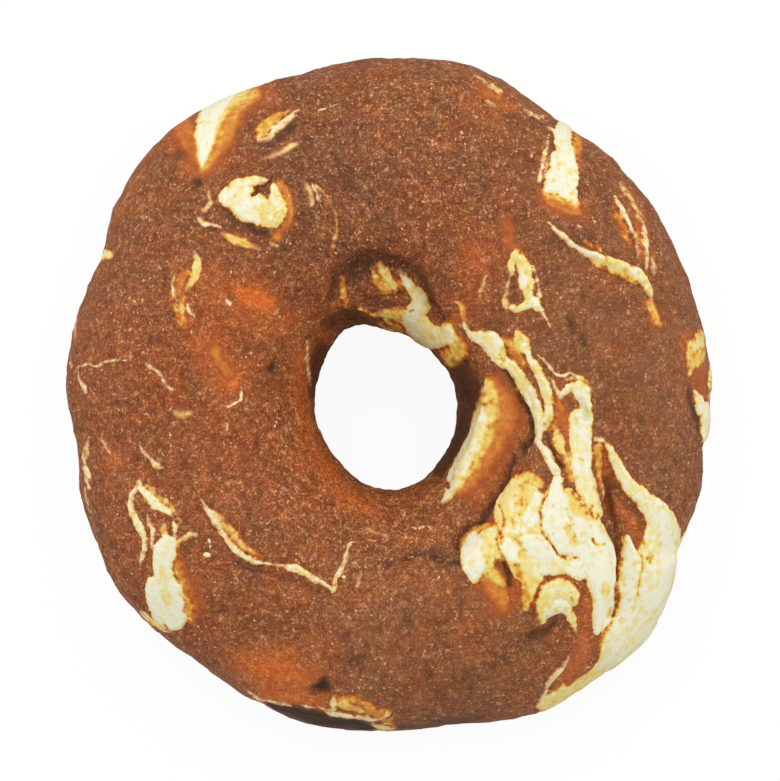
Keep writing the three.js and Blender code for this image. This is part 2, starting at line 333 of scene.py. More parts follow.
cheese([(-37.1, -13.3, 0.3), (-36.8, -14.1, 0.48), (-36.1, -15, 0.63), (-35.2, -16.1, 0.75),
    (-34.1, -16.9, 0.63), (-32.9, -17.6, 0.45), (-31.9, -18.4, 0.15)], 0.96, 0.4, 0.27, 0.33)
cheese([(-36, -18.3, 0.15), (-35.5, -19.6, 0.32), (-35, -20.7, 0.36), (-35.2, -22.1, 0.22),
    (-35.3, -23.4, 0.12)], 0.78, 0.25, 0.27)
cheese([(-31.9, -19.1, 0.18), (-31.7, -20.2, 0.43), (-31.8, -21.3, 0.24)], 0.82, 0.3, 0.27)
cheese([(-31.6, -22.6, 0.48), (-30.7, -21.8, 0.39), (-29.8, -21.2, 0.39), (-28.7, -21.1, 0.18)],
    0.6, 0.25, 0.36, 0.51)
cheese([(-33.5, -19.6, 0.24), (-33.4, -20.6, 0.54), (-33.1, -21.8, 0.75)], 0.46, 0.1, 0.6)
cheese([(-32.9, -22.5, 1.41), (-33.4, -23.8, 1.68), (-33.7, -25.5, 1.56), (-33.5, -27.1, 1.59),
    (-33.7, -28.6, 2.49), (-33.4, -30.1, 2.76), (-33.1, -31.5, 2.79), (-32.5, -32.7, 2.55),
    (-31.9, -33.6, 1.71)], WHITE, 0.35, 0.48, 0.27)
dough([(-32.9, -29.8, 0.18), (-32.5, -30.9, 0.3)], 0.74, 0, 1.2)
dough([(-33.5, -25.9, 0.3), (-33.4, -26.6, 0.3)], 0.72, 0, 0.75)
dough([(-35.3, -16.9, 0.15), (-36.1, -15.9, 0.09)], DOUGH, -0.2, 0.3)
cheese([(-37.1, -32.7, 0.21), (-35.6, -33.9, 0.51), (-34, -34.9, 0.54), (-32.5, -35.5, 0.27)],
    0.62, 0.2, 0.36)

# Pale lip, lower left.
cheese([(-26, -17.8, 0.3), (-24.7, -19.6, 0.75), (-23.5, -21.1, 0.9), (-22.1, -22.5, 0.75),
    (-20.5, -23.7, 0.51), (-18.8, -24.6, 0.24)], 0.34, 0.1, 0.75)
cheese([(-25.6, -18.1, 0.24), (-24.4, -19.8, 0.45), (-23.2, -21.3, 0.51), (-21.8, -22.6, 0.36),
    (-20.5, -23.6, 0.21)], 0.46, 0.15, 0.6)
cheese([(-28, -15.8, 0.06), (-27.2, -16.9, 0.28), (-26.5, -18, 0.42), (-25.6, -19.3, 0.39),
    (-25, -20.5, 0.38), (-24.2, -21.6, 0.36), (-23.3, -22.8, 0.43), (-22.3, -23.8, 0.42),
    (-21.1, -24.6, 0.42), (-19.7, -25.2, 0.3), (-18.1, -25.4, 0.2), (-16.7, -25.7, 0.18),
    (-15.5, -25.9, 0.33), (-14, -26.1, 0.56), (-12.5, -26.8, 0.53), (-11, -27.7, 0.39), (-9.5, -28.6, 0.32),
    (-8.5, -29.4, 0.21)], 0.84, 0.5, 0.33, 0.27)
cheese([(-8.3, -29.6, 0.34), (-8, -28.5, 0.48), (-7.7, -27.4, 0.38), (-7.1, -26.5, 0.34),
    (-6.6, -25.3, 0.3), (-6.2, -23.8, 0.21), (-5.9, -22.7, 0.22), (-5.2, -22.3, 0.2), (-4.1, -22.3, 0.06)],
    0.7, 0.4, 0.3)
cheese([(-8, -29.2, 0.15), (-8.2, -28.6, 0.24)], 0.58, 0.4, 0.3)

# Lip and amber patch at the near edge.
cheese([(-20.8, -44.7, 0.15), (-19.6, -45.5, 0.33), (-18.1, -46, 0.27), (-16.3, -46.3, 0.27),
    (-14.8, -46.7, 0.18)], 0.62, 0.2, 0.51, 0.3)
cheese([(-13.3, -46.5, 0.1), (-12.2, -46.7, 0.18), (-11.2, -47, 0.12)], 0.68, 0.2, 0.39, 0.24)
cheese([(-7.7, -45.9, 0.75), (-6.1, -46.1, 1.11), (-4.6, -46.5, 0.99), (-2.5, -47.4, 0.84),
    (-0.5, -48.3, 0.99), (0.1, -49.2, 0.66)], 0.33, 0.2, 0.75)
cheese([(-7.1, -46.2, 0.54), (-5.5, -46.7, 0.63), (-4, -47.1, 0.45)], 0.44, 0.2, 0.75)
cheese([(-8.1, -45.5, 0.39), (-8.2, -46.2, 0.51), (-8.1, -47.1, 0.36)], 0.74, 0.35, 0.3, 0.51)
cheese([(-10.6, -46.7, 0.12), (-9.8, -47.1, 0.24), (-8.6, -47.7, 0.36), (-7.1, -48, 0.39),
    (-5.5, -48.3, 0.39), (-3.5, -48.6, 0.33), (-2.2, -48.8, 0.21), (-0.8, -48.3, 0.21),
    (0.2, -47.7, 0.12)], 0.78, 0.3, 0.36, 0.24)
cheese([(-2.3, -49.4, 0.3), (-1.6, -49.8, 0.51), (-0.4, -50.1, 0.51), (0.7, -50.1, 0.3)], 0.6, 0.15, 0.3)

# White patch at the far right edge.
cheese([(23.3, 29.5, 0.75), (25.1, 28.6, 1.2), (26.9, 27.9, 1.35), (28.4, 27.1, 0.75)], 0.27, 0, 1.05)
cheese([(23.8, 29.8, 0.75), (25.7, 29.1, 0.9), (27.8, 28.2, 0.75)], 0.44, 0, 1.05, 1.2)
cheese([(26.3, 40, 1.2), (26, 37.9, 1.32), (26.3, 36.4, 1.32), (26.1, 34.9, 1.86), (26.1, 33.4, 2.22),
    (25.9, 32.1, 2.55)], WHITE, 0.3, 0.27)
cheese([(25.1, 31.5, 1.8), (24.2, 30.9, 1.2)], WHITE, 0.3, 0.3)
cheese([(25.9, 32.2, 1.95), (26.6, 30.9, 1.74), (27.2, 29.8, 1.14), (27.8, 28.9, 0.54)],
    0.98, 0.3, 0.3, 0.45)
cheese([(27.7, 39.1, 0.54), (28.3, 37.6, 0.72), (28.1, 36.3, 0.63), (28.3, 34.6, 0.24)], 0.32, 0, 0.9, 1.05)
cheese([(23.9, 39.8, 0.15), (24.7, 39.4, 0.36)], 0.6, 0.1, 0.36)
dough([(24.2, 37, 0.45), (24.7, 36.8, 0.3)], DOUGH, -0.3, 0.3)
cheese([(23.8, 37.5, 0.07), (23.5, 36.4, 0.3), (23.2, 35.5, 0.38), (22.9, 34.2, 0.3), (22.7, 33, 0.15),
    (22.4, 31.9, 0.33), (22.3, 31.3, 0.24)], 0.78, 0.3, 0.24)
cheese([(23.6, 34.8, 0.21), (23.5, 33.4, 0.27), (23.2, 32.2, 0.36)], 0.48, 0.1, 0.3)
dough([(26.6, 32.5, 0.18), (27.2, 32.6, 0.15)], 0.62, 0, 0.45)
dough([(25.1, 34, 0.15), (25.3, 33.8, 0.15)], 0.7, 0, 0.45)
cheese([(21.8, 36.6, 0.09), (21.3, 35.2, 0.14)], 0.5, 0.1, 0.3)
cheese([(20.2, 42.4, 0.15), (21.1, 41.7, 0.3), (22.4, 41.4, 0.24), (23.5, 41.7, 0.09)], 0.66, 0.15, 0.33)
cheese([(12.8, 47.4, 0.12), (13.9, 46.7, 0.21), (14.5, 45.9, 0.21), (14.6, 45, 0.12)], 0.52, 0.15, 0.36)
cheese([(14.2, 43.6, 0.07), (15.2, 43.2, 0.18), (16.1, 42.8, 0.1)], 0.54, 0.1, 0.27)
cheese([(14.3, 44.7, 0.6), (15.5, 44.4, 0.75), (16.4, 44.2, 0.6)], 0.2, 0, 1.05)
cheese([(14.9, 45.6, 0.24), (15.8, 45.6, 0.51), (16.7, 45.1, 0.3)], 0.54, 0.1, 0.51)

# Lips on the right.
cheese([(29, 22.8, 0.24), (30.2, 22.1, 0.36), (31.7, 21.3, 0.24)], 0.3, 0.1, 0.45)
cheese([(30.5, 19.9, 0.45), (32.6, 19.1, 0.75), (35, 18.1, 0.75), (36.8, 16.9, 0.6)], 0.44, 0.2, 0.6)
cheese([(23.7, 25.4, 0.07), (24.5, 24.6, 0.24), (25.7, 23.6, 0.45), (26.9, 22.5, 0.42), (28.1, 21.6, 0.38),
    (29.5, 21, 0.51), (30.8, 20.4, 0.54)], 0.88, 0.5, 0.27, 0.3)
cheese([(30.2, 20.7, 0.48), (32.2, 19.9, 0.66), (33.7, 19.3, 0.72), (35, 18.8, 0.72), (36.4, 18.2, 0.75)],
    0.65, 0.5, 0.33, 0.45)
cheese([(36.1, 18.4, 0.63), (37.4, 17.6, 0.72), (38.2, 16.5, 0.6), (38.8, 15.3, 0.51), (39.2, 14.1, 0.27)],
    0.84, 0.45, 0.3, 0.45)
cheese([(38.9, 13.5, 0.54), (39.5, 12, 0.69), (40.1, 10.7, 0.51), (40.4, 9.8, 0.24)], 0.42, 0.1, 0.75)
cheese([(33.4, 27.8, 0.24), (34.4, 25.9, 0.6), (35.6, 24, 0.6), (36.2, 22.1, 0.36)], 0.24, 0, 0.6)
cheese([(33.5, 29.3, 0.15), (34.3, 28.2, 0.33), (35, 27, 0.36), (35.8, 25.6, 0.3), (36.4, 24.4, 0.21)],
    0.92, 0.4, 0.24, 0.3)
cheese([(36.2, 24.8, 0.21), (36.8, 23.1, 0.22), (37, 21.4, 0.2), (37.1, 20.1, 0.12)], 0.56, 0.3, 0.3)
cheese([(37.3, 24.1, 0.36), (37.6, 22.1, 0.39), (37.6, 19.9, 0.3)], 0.14, 0, 0.6)
cheese([(34.7, 31.3, 0.21), (35.6, 29.7, 0.38), (36.6, 28.1, 0.39), (37.4, 26.4, 0.39),
    (37.7, 25.5, 0.27)], 0.5, 0.3, 0.39)
cheese([(37.7, 25.9, 0.15), (38.2, 24.3, 0.36), (38.4, 22.5, 0.36), (38.5, 20.7, 0.3), (38.5, 19.2, 0.26),
    (38.2, 18.2, 0.12)], 0.76, 0.4, 0.27, 0.3)
cheese([(39.3, 20.2, 0.12), (39.7, 19.1, 0.27), (39.7, 18, 0.15)], 0.5, 0.1, 0.39)
cheese([(43.4, 7.3, 0.3), (45.2, 7.6, 0.45)], 0.2, 0, 0.75)
cheese([(46.6, 9.3, 0.36), (46.4, 8.2, 0.9), (46.1, 6.9, 1.5), (45.9, 5.5, 1.5), (45.4, 4.2, 0.96),
    (45.2, 3, 0.39)], 0.43, 0.2, 0.6)
cheese([(46.9, 8.8, 0.51), (46.4, 7.6, 0.81), (45.2, 6.6, 0.45)], 0.66, 0.2, 0.6)
cheese([(48.1, 3.1, 0.21), (48.2, 0.8, 0.3), (48.1, -1.6, 0.24)], 0.56, 0.1, 0.36)
cheese([(46.7, 2.5, 0.45), (47, 0.8, 0.69)], 0.14, 0.1, 1.05)
cheese([(45.8, 0.3, 0.09), (46.4, -0.9, 0.57), (47, -2.1, 0.87), (47.4, -3.4, 0.75), (47.5, -5, 0.66),
    (47.3, -6.3, 0.51), (47, -7.3, 0.15)], 0.96, 0.35, 0.3, 0.27)

# Hook, upper right.
cheese([(17.9, 26.4, 0.3), (17.8, 24.9, 0.6), (17.9, 23.2, 0.66), (18.5, 21.8, 0.75), (19.1, 20.8, 0.75)],
    0.16, 0.05, 1.05)
cheese([(18.8, 20.6, 0.6), (18.3, 19.2, 0.6), (18.4, 18, 0.39), (18.1, 17.4, 0.15)], 0.74, 0.35, 0.36)
cheese([(18.1, 17.1, 0.15), (17.7, 15.8, 0.24), (17.6, 14.5, 0.33), (17.4, 13.3, 0.48),
    (17.9, 12.4, 0.42)], 0.48, 0.25, 0.39)
cheese([(19.1, 20.7, 0.51), (19.9, 19.6, 0.9), (20.3, 18.4, 1.02), (20.5, 17.2, 0.99), (20.8, 16.1, 0.9),
    (20.9, 15, 0.75)], 0.72, 0.4, 0.39, 0.36)
cheese([(19.9, 18.3, 0.36), (20.1, 16.9, 0.6), (20.3, 15.8, 0.6)], WHITE, 0.45, 0.54)
cheese([(21.5, 16.3, 0.3), (21.5, 15.3, 0.45)], 0.46, 0.35, 0.6)
cheese([(18.5, 12.8, 0.45), (19.3, 12.5, 0.6), (20.3, 13, 0.66), (21.2, 13.8, 0.81)], 0.7, 0.35, 0.36)
cheese([(21.1, 14.1, 0.75), (21.8, 13.5, 0.75), (22.3, 12.8, 0.51)], 0.84, 0.35, 0.36)
cheese([(22.7, 12.6, 0.2), (23.2, 11.5, 0.18), (23.8, 10.7, 0.14), (24.1, 9.8, 0.06)], 0.66, 0.25, 0.24)
dough([(19.1, 17.8, 0.12), (18.9, 16.5, 0.45), (19.3, 15, 0.48), (19.6, 13.8, 0.24)], DOUGH, -0.4, 0.39)
cheese([(21.3, 19.6, 0.07), (21.9, 17.8, 0.14), (22.3, 16.1, 0.14), (22.6, 14.5, 0.22)], 0.56, 0.2, 0.24)
cheese([(14.6, 17.4, 0.15), (14, 16.2, 0.26), (13.7, 15, 0.27), (13.7, 14.1, 0.12)], 0.46, 0.2, 0.39)

# Cheese in the recess over the hole.
cheese([(-6.8, 16.8, 0.27), (-6.8, 15.4, 0.48), (-6.6, 14.2, 0.51), (-6.5, 13, 0.24)], 0.4, 0.3, 0.51)
cheese([(-2.6, 18.3, 0.1), (-2.2, 17.6, 0.21)], 0.6, 0.3, 0.3)
cheese([(-2.2, 18, 0.45), (-1.4, 16.8, 0.75), (-0.4, 15.6, 0.81), (0.7, 15, 0.51)], 0.37, 0.4, 0.6)
cheese([(-1.3, 18.8, 0.45), (-0.3, 17.7, 0.66), (0.5, 16.3, 0.66), (1.1, 15.3, 0.3)], 0.56, 0.55, 0.51)
cheese([(1.6, 16.3, 0.45), (2.2, 15.1, 0.51)], 0.24, 0.4, 0.75)
cheese([(-4.6, 12.8, 0.21), (-3.4, 12.3, 0.3), (-2.2, 11.7, 0.3)], 0.3, 0.3, 0.45)
cheese([(-1.3, 12, 0.39), (-0.1, 11.8, 0.69), (1.3, 11.7, 1.05), (2.3, 11.5, 1.2)], 0.5, 0.4, 0.75, 0.6)
cheese([(-0.5, 11.1, 0.3), (0.8, 10.2, 0.45), (2, 9.4, 0.3)], 0.4, 0.3, 0.6)
cheese([(2, 17.5, 0.24), (2.8, 16.6, 0.63), (3.5, 15.4, 0.81), (4.3, 14.1, 1.11), (4.3, 12.6, 1.5),
    (3.9, 11.1, 1.89), (4.6, 9.8, 1.8), (5.9, 8.7, 1.65), (7.4, 8.2, 1.56), (8.3, 8.2, 1.2)],
    0.82, 0.6, 0.45, 0.51)
cheese([(3.5, 15.1, 0.36), (4.4, 13.7, 0.6), (4.1, 11.8, 0.9)], 0.9, 0.6, 0.75)
dough([(2.3, 9.2, 0.3), (4.1, 8.1, 0.51), (6.2, 7, 0.6), (7.4, 6, 0.45)], 0.7, 0, 0.9)
dough([(3.2, 12.4, 0.15), (3.7, 12.5, 0.15)], 0.3, -0.15, 0.27)
dough([(6.1, 12.6, 0.18), (6.2, 11.2, 0.18)], 0.6, 0, 0.45)
cheese([(8.6, 9.4, 0.9), (9.1, 8.2, 1.05)], 0.76, 0.5, 0.6)
cheese([(9.5, 8.2, 0.9), (10.3, 7, 1.2), (10.3, 5.8, 1.2), (9.5, 4.8, 0.9)], 0.46, 0.35, 0.9, 0.75)
cheese([(8.6, 5.8, 0.75), (9.5, 4.8, 0.75)], 0.34, 0.3, 0.75)
dough([(-2.8, 13.5, 0.54), (-0.7, 13.7, 0.69), (1.3, 14.1, 0.54), (2.3, 15, 0.3)], DOUGH, -0.5, 0.45)
cheese([(10.1, 13.5, 0.21), (10.9, 12.9, 0.51), (11.2, 12, 0.54), (11.3, 11.1, 0.36)], 0.4, 0.25, 0.6)
cheese([(10.7, 10.3, 0.24), (11.6, 9.6, 0.33)], 0.66, 0.3, 0.36)

# Roll of dough beside the hole.
cheese([(15.5, 1.3, 1.2), (16.6, -1.1, 2.1), (16.6, -3.8, 2.4), (15.8, -6.5, 2.25), (14.6, -9.2, 1.95),
    (13.3, -11.5, 1.65), (11.6, -13.8, 1.35)], 0.27, 0.2, 2.1, 0.6)
cheese([(15.1, 1.5, 0.75), (15.2, -0.1, 1.35), (14.9, -2.2, 1.8), (14.3, -4.3, 1.95), (14, -6.5, 1.95),
    (13, -8.5, 1.8), (12.1, -10.5, 1.59), (11, -12.3, 1.35), (10, -14.1, 0.9)], 0.52, 0.35, 1.35, 0.39)
cheese([(14, -2.5, 0.45), (14, -4, 0.96), (13.6, -5.5, 1.29), (12.9, -7, 1.44), (12.1, -8.5, 1.5),
    (11.3, -10, 1.5), (10.7, -11.4, 1.5), (10, -12.8, 1.38), (9.4, -14.1, 0.99), (8.7, -15.3, 0.57),
    (8.1, -16.3, 0.18)], 0.9, 0.35, 0.9, 0.3)
cheese([(14, 0.8, 0.21), (13.6, -0.8, 0.21), (13.1, -2.2, 0.21)], 0.5, 0.3, 0.45, 0.36)
dough([(14, -1.6, 0.21), (14.9, -1.8, 0.3), (15.5, -1.1, 0.15)], 0.4, 0, 0.6)
dough([(7.7, -13.3, 0.18), (8.5, -13.4, 0.48), (8.9, -14.1, 0.3)], DOUGH, -0.4, 0.27)

# Strands from the hole to the big patch.
cheese([(17.9, 7.6, 0.6), (19, 6.1, 0.75), (20, 4.6, 0.6)], 0.36, 0.2, 0.75)
cheese([(11.2, 10.5, 0.12), (11.9, 9.4, 0.39), (12.8, 8.5, 0.81), (14, 8.2, 1.11), (15.2, 7.7, 1.5),
    (16.1, 6.5, 1.44), (16.7, 5.4, 1.05)], 0.88, 0.5, 0.3, 0.33)
cheese([(16, 5.2, 0.66), (16.9, 4.8, 0.84), (18.1, 4, 0.84), (19.2, 2.9, 0.96), (20.1, 1.3, 1.05),
    (20.9, -0.1, 1.05), (21.5, -1.6, 0.93), (22.1, -3.3, 0.93), (22.4, -4.8, 0.84), (22.3, -6.1, 0.72),
    (22, -7.2, 0.51)], 0.84, 0.5, 0.3)
dough([(16, 5.3, 0.12), (17.2, 5.2, 0.15), (18.4, 4.3, 0.18), (19.6, 2.9, 0.15)], 0.58, -0.1, 0.36)
dough([(17.9, 3.9, 0.06), (19, 2.2, 0.1), (19.9, 0.6, 0.09)], 0.66, -0.08, 0.3)
dough([(20.6, 0.8, 0.07), (21.4, -0.8, 0.12), (21.8, -2.2, 0.09)], 0.62, -0.08, 0.3)
cheese([(19.4, 8.8, 0.6), (19.7, 7.9, 1.2), (20.3, 6.6, 0.81)], 0.66, 0.4, 0.6)
cheese([(20.2, 7, 0.6), (21, 5.5, 0.51), (21.8, 4.2, 0.58), (22.6, 2.7, 0.67), (23.2, 0.9, 0.75),
    (23.8, -0.8, 0.75), (23.9, -2.4, 0.69), (23.5, -3.9, 0.69), (22.9, -5.1, 0.6)], 0.86, 0.5, 0.3)
dough([(20.6, 4.8, 0.12), (21.2, 3.3, 0.18), (21.8, 1.6, 0.2), (22.3, 0.3, 0.1)], DOUGH, -0.5, 0.3)
dough([(22.9, -1.6, 0.06), (23, -2.9, 0.12), (22.8, -4.2, 0.09)], 0.56, -0.2, 0.27)
cheese([(22.1, -6.9, 0.3), (22.7, -7.8, 0.48), (23.5, -9, 0.6), (24.2, -10.3, 0.63), (25, -11.7, 0.51),
    (25.7, -12.8, 0.3)], WHITE, 0.5, 0.27, 0.24)
cheese([(22.2, 5.6, 0.07), (23.2, 4.8, 0.2), (24.2, 3.8, 0.21), (25, 2.9, 0.17), (26, 2.5, 0.14),
    (27.2, 2.9, 0.14), (28.1, 2.3, 0.1)], 0.78, 0.3, 0.22)
cheese([(26.6, 2.1, 0.24), (28, 2.3, 0.39), (29, 1.8, 0.54), (29.6, 0.8, 0.45), (29.9, -0.3, 0.18)],
    0.46, 0.2, 0.45)
cheese([(24.8, -0.8, 0.45), (25.4, -2.5, 0.96), (25.9, -4.2, 1.05), (25.1, -5.5, 0.9)], 0.2, 0, 0.75)
cheese([(23.6, -5.4, 0.3), (24.5, -5.1, 0.45), (25.1, -5.5, 0.45)], 0.34, 0.1, 0.6)
cheese([(25.1, -6, 0.66), (25.4, -7.3, 0.9), (25.7, -8.7, 0.66), (26.3, -9.8, 0.3)], 0.6, 0.2, 0.54)
cheese([(26.6, -9.4, 0.54), (26.9, -11.2, 0.69), (27.2, -12.9, 0.45)], 0.42, 0.15, 0.75)
cheese([(24.1, 2.2, 0.09), (24.8, 0.9, 0.26), (25.4, -0.1, 0.3), (25.9, -0.6, 0.3)], 0.8, 0.35, 0.27)
cheese([(25.7, -0.6, 0.27), (26.5, 0.4, 0.54), (27.5, 0.9, 0.84), (28.6, 0.3, 1.2), (29.2, -1.1, 1.02),
    (29.3, -2.7, 0.96), (29.2, -4.3, 1.11)], 0.92, 0.45, 0.33)
cheese([(31, -8.1, 0.51), (31.4, -10, 0.75), (31.7, -12, 0.69), (32, -13.5, 0.36)], 0.36, 0.1, 0.75)
dough([(26.8, -0.9, 0.24), (27.4, -2.1, 0.39), (27.7, -3.6, 0.48), (27.4, -4.6, 0.3)], DOUGH, -0.7, 0.36)
dough([(24.2, -7.9, 0.09), (25, -8.8, 0.17), (25.7, -9.6, 0.1)], DOUGH, -0.2, 0.27)

# Big pale patch: its left lobes.
cheese([(14.2, -27.1, 1.35), (15.7, -28.9, 1.5), (17.2, -31, 1.35)], 0.3, 0, 2.4)
cheese([(11.5, -22.2, 0.9), (12.8, -20.8, 1.05), (14.9, -20.2, 0.9), (16.3, -20.2, 0.45)],
    0.4, 0.3, 0.75, 0.9)
cheese([(14.6, -25.9, 1.2), (15.8, -27.4, 1.05), (17, -28.6, 0.6)], 0.5, 0.2, 1.2)
cheese([(12.8, -22.1, 1.2), (12.4, -23.8, 1.8), (12.8, -25.8, 1.72), (12.8, -27.6, 0.75)],
    WHITE, 0.5, 0.53, 0.36)
cheese([(14.3, -21.6, 1.05), (14.6, -23.8, 1.35), (14.8, -25.8, 0.9)], 0.72, 0.4, 0.6)
cheese([(19.6, -13.2, 1.05), (21.1, -13, 1.12), (22.3, -13.5, 0.9)], 0.48, 0.4, 0.75, 0.6)
cheese([(18.8, -13.9, 1.2), (18.1, -16.1, 1.95), (17.5, -18, 1.95), (17.9, -19.9, 1.5)],
    0.7, 0.4, 0.6, 0.39)
cheese([(21.1, -14.8, 1.35), (20.6, -17.2, 1.95), (20.6, -19.6, 1.95)], 0.76, 0.45, 0.45)
cheese([(22.3, -15.6, 0.75), (21.7, -17.8, 1.2), (21.2, -19.3, 1.05)], WHITE, 0.5, 0.6)
cheese([(17.9, -22.2, 1.05), (18.8, -24, 1.65), (20.3, -25.9, 2.1), (21.4, -28.1, 1.65),
    (20.8, -30.4, 1.05), (20.5, -31.9, 0.45)], 0.74, 0.4, 0.6)
cheese([(17.8, -22.6, 0.9), (18.1, -23.7, 1.2), (18.5, -24.6, 0.9)], WHITE, 0.5, 0.45)
cheese([(20.9, -22.2, 1.35), (22.3, -22.9, 1.8), (23.6, -24, 1.5)], 1.05, 0.55, 0.6)
cheese([(23.5, -25.3, 1.95), (25.7, -25.8, 1.5), (28, -25.9, 1.5)], 0.86, 0.4, 0.6)
dough([(19.9, -14.4, 0.75), (19.6, -16.1, 0.75)], 0.6, 0, 1.2)
dough([(19, -25.6, 0.38), (19.7, -28.3, 0.75), (20.5, -31.3, 0.75)], 0.42, 0, 1.35)
dough([(19.7, -22.2, 0.22), (19.7, -24.4, 0.3)], 0.6, -0.1, 0.75)
cheese([(17.6, -20.2, 1.05), (19.1, -20.6, 1.35), (20.9, -20.8, 1.5), (22.4, -20.6, 1.05)], 0.74, 0.4, 0.6)
cheese([(15.5, -21, 0.9), (16.3, -22.6, 0.96), (16.7, -24.3, 0.75)], 0.66, 0.35, 0.6)

# Big pale patch: its right lobes.
cheese([(28.6, -3.8, 1.5), (28.6, -6.1, 1.72), (28.7, -8.5, 1.57), (28.7, -10.9, 1.43)],
    0.9, 0.45, 0.51, 0.45)
cheese([(28.7, -10.9, 1.27), (29.3, -13.3, 1.5), (29.9, -15.6, 1.5), (30.7, -17.6, 1.35)],
    0.88, 0.5, 0.36, 0.45)
cheese([(25.3, -13, 0.75), (24.8, -15.1, 1.35), (24.7, -17.6, 1.8), (25.1, -19.9, 2.1), (26.2, -22.1, 1.95),
    (27.7, -23.4, 1.2)], 1.05, 0.6, 0.45, 0.39)
cheese([(26.9, -15.6, 1.35), (28.3, -17.8, 1.8), (29.5, -19.9, 2.25), (30.5, -22.2, 2.55),
    (31.3, -24.4, 2.55), (31.7, -26.8, 2.32), (32, -29.5, 2.02), (32.2, -31.9, 1.72), (31.7, -33.9, 1.43),
    (31.1, -35.5, 0.6)], WHITE, 0.5, 0.33, 0.39)
cheese([(29.2, -24.4, 2.1), (28.3, -26.2, 1.65)], WHITE, 0.45, 0.45)
cheese([(31.9, -13.9, 0.22), (32.3, -14.8, 0.33), (32.2, -15.9, 0.18)], 0.62, 0.4, 0.38)
dough([(26.5, -13.7, 0.45), (27.4, -15.1, 0.6), (28.3, -16.9, 0.97), (29.5, -17.7, 0.67),
    (30.7, -18.4, 0.45)], 0.52, -0.05, 1.2)
dough([(26.9, -20.2, 0.3), (27.5, -21.8, 0.38)], 0.62, -0.05, 0.9)
dough([(32, -28.5, 0.3), (32.2, -29.5, 0.38)], 0.66, -0.05, 0.75)
dough([(32.9, -31.9, 0.15), (32.8, -33, 0.3)], 0.5, -0.05, 0.6)

# Arch of cheese at the foot of the big patch.
cheese([(22.9, -33.8, 0.67), (22.9, -31.6, 1.05), (23.9, -29.8, 1.43), (25.7, -29.1, 1.5),
    (27.1, -30.1, 1.27), (27.8, -31, 0.75)], 0.74, 0.55, 0.45)
cheese([(23.8, -32.5, 0.9), (25.3, -31.6, 1.2), (26.5, -31.9, 0.9)], 0.94, 0.55, 0.45)
cheese([(26.2, -31.6, 0.75), (27.1, -33.1, 0.78), (27.7, -34.5, 0.54), (28, -35.5, 0.24)],
    0.74, 0.4, 0.45, 0.33)
dough([(27.2, -30.3, 0.21), (27.5, -30.9, 0.15)], 0.4, -0.1, 0.38)

# Seams between the lobes.
dough([(24.1, -13.3, 0.15), (23.6, -15, 0.14), (23, -16.6, 0.14), (22.7, -18.4, 0.14), (22.8, -20.2, 0.12),
    (23.6, -21.9, 0.14), (24.7, -23.1, 0.17), (25.5, -24.1, 0.17), (26.6, -24.7, 0.14),
    (28.3, -24.4, 0.07)], 0.26, -0.3, 0.33)
dough([(20.5, -16.9, 0.06), (19.6, -18.3, 0.09), (18.4, -19.8, 0.09)], 0.6, -0.1, 0.33)
dough([(16.6, -16.8, 0.12), (17.2, -18.1, 0.21), (17.3, -19.5, 0.18), (16.6, -20.8, 0.17),
    (16.1, -21.8, 0.17)], 0.34, -0.35, 0.42)
dough([(16.1, -21.1, 0.07), (16.4, -22.8, 0.12), (16.9, -24.4, 0.24)], 0.36, -0.25, 0.39)
dough([(16.9, -24.9, 0.15), (17.5, -26.2, 0.36), (18.1, -28.1, 0.6), (18.7, -30.8, 0.75)], DOUGH, -0.4, 0.6)
dough([(22.3, -33.9, 0.27), (21.8, -31.8, 0.3), (22.1, -29.4, 0.27), (23.2, -28.1, 0.26),
    (24.7, -27.4, 0.24), (26.2, -27.1, 0.18), (27.4, -27.7, 0.18), (28.3, -28.5, 0.21)], 0.12, -0.45, 0.39)
dough([(28.6, -29.1, 0.39), (29.2, -30.6, 0.84), (29.2, -32.9, 1.11), (29.2, -35.2, 1.2)],
    DOUGH, -0.4, 0.45)
dough([(24.5, -35.7, 1.5), (25.7, -33.9, 0.97), (26.2, -33.3, 0.38)], DOUGH, -0.25, 0.45)
dough([(30.4, -16.8, 0.15), (30.2, -17.7, 0.27), (30.5, -18.4, 0.18)], 0.12, -0.2, 0.36)
dough([(30.3, -21.6, 0.15), (30.5, -22.2, 0.18), (31.3, -22.6, 0.12), (32.2, -22.3, 0.12)], 0.2, -0.2, 0.24)
dough([(26.8, -13, 0.15), (27.5, -14.8, 0.18), (28.4, -16.6, 0.15)], 0.35, -0.2, 0.36)

# Pale fold along the right edge.
cheese([(30.8, -6.9, 0.21), (31.7, -7.3, 0.48), (32.8, -8.4, 0.69), (33.7, -9.9, 0.75), (34.4, -11.2, 0.75),
    (35.2, -12.9, 0.9), (36.2, -14.2, 1.08), (37.6, -15.3, 1.2)], 0.86, 0.5, 0.33, 0.39)
cheese([(37.9, -15.8, 1.2), (39.4, -17.2, 1.72), (40.6, -19.3, 2.25), (40.9, -22.1, 2.85),
    (40.3, -25.3, 3.6), (39.4, -28.8, 4.05), (37.6, -32.2, 4.05), (35.5, -35.4, 3.15),
    (32.8, -38.9, 2.25)], 0.9, 0.45, 0.45)
cheese([(33.5, -37.9, 2.1), (30.8, -41.1, 1.65), (27.8, -43.6, 1.35), (24.8, -45.6, 1.05),
    (22.7, -46.9, 0.6)], 0.68, 0.35, 0.6)
cheese([(40.7, -18.4, 1.05), (41.6, -22.8, 1.35), (40.6, -27.8, 1.5), (38.5, -31.6, 1.35)],
    1.02, 0.45, 1.35)
cheese([(35.5, -21.6, 0.48), (35.9, -23.4, 0.99), (35.9, -25.3, 1.2), (35.6, -27.8, 1.2),
    (35.2, -30.4, 1.2), (34.7, -32.9, 0.9)], 0.94, 0.5, 0.45, 0.36)

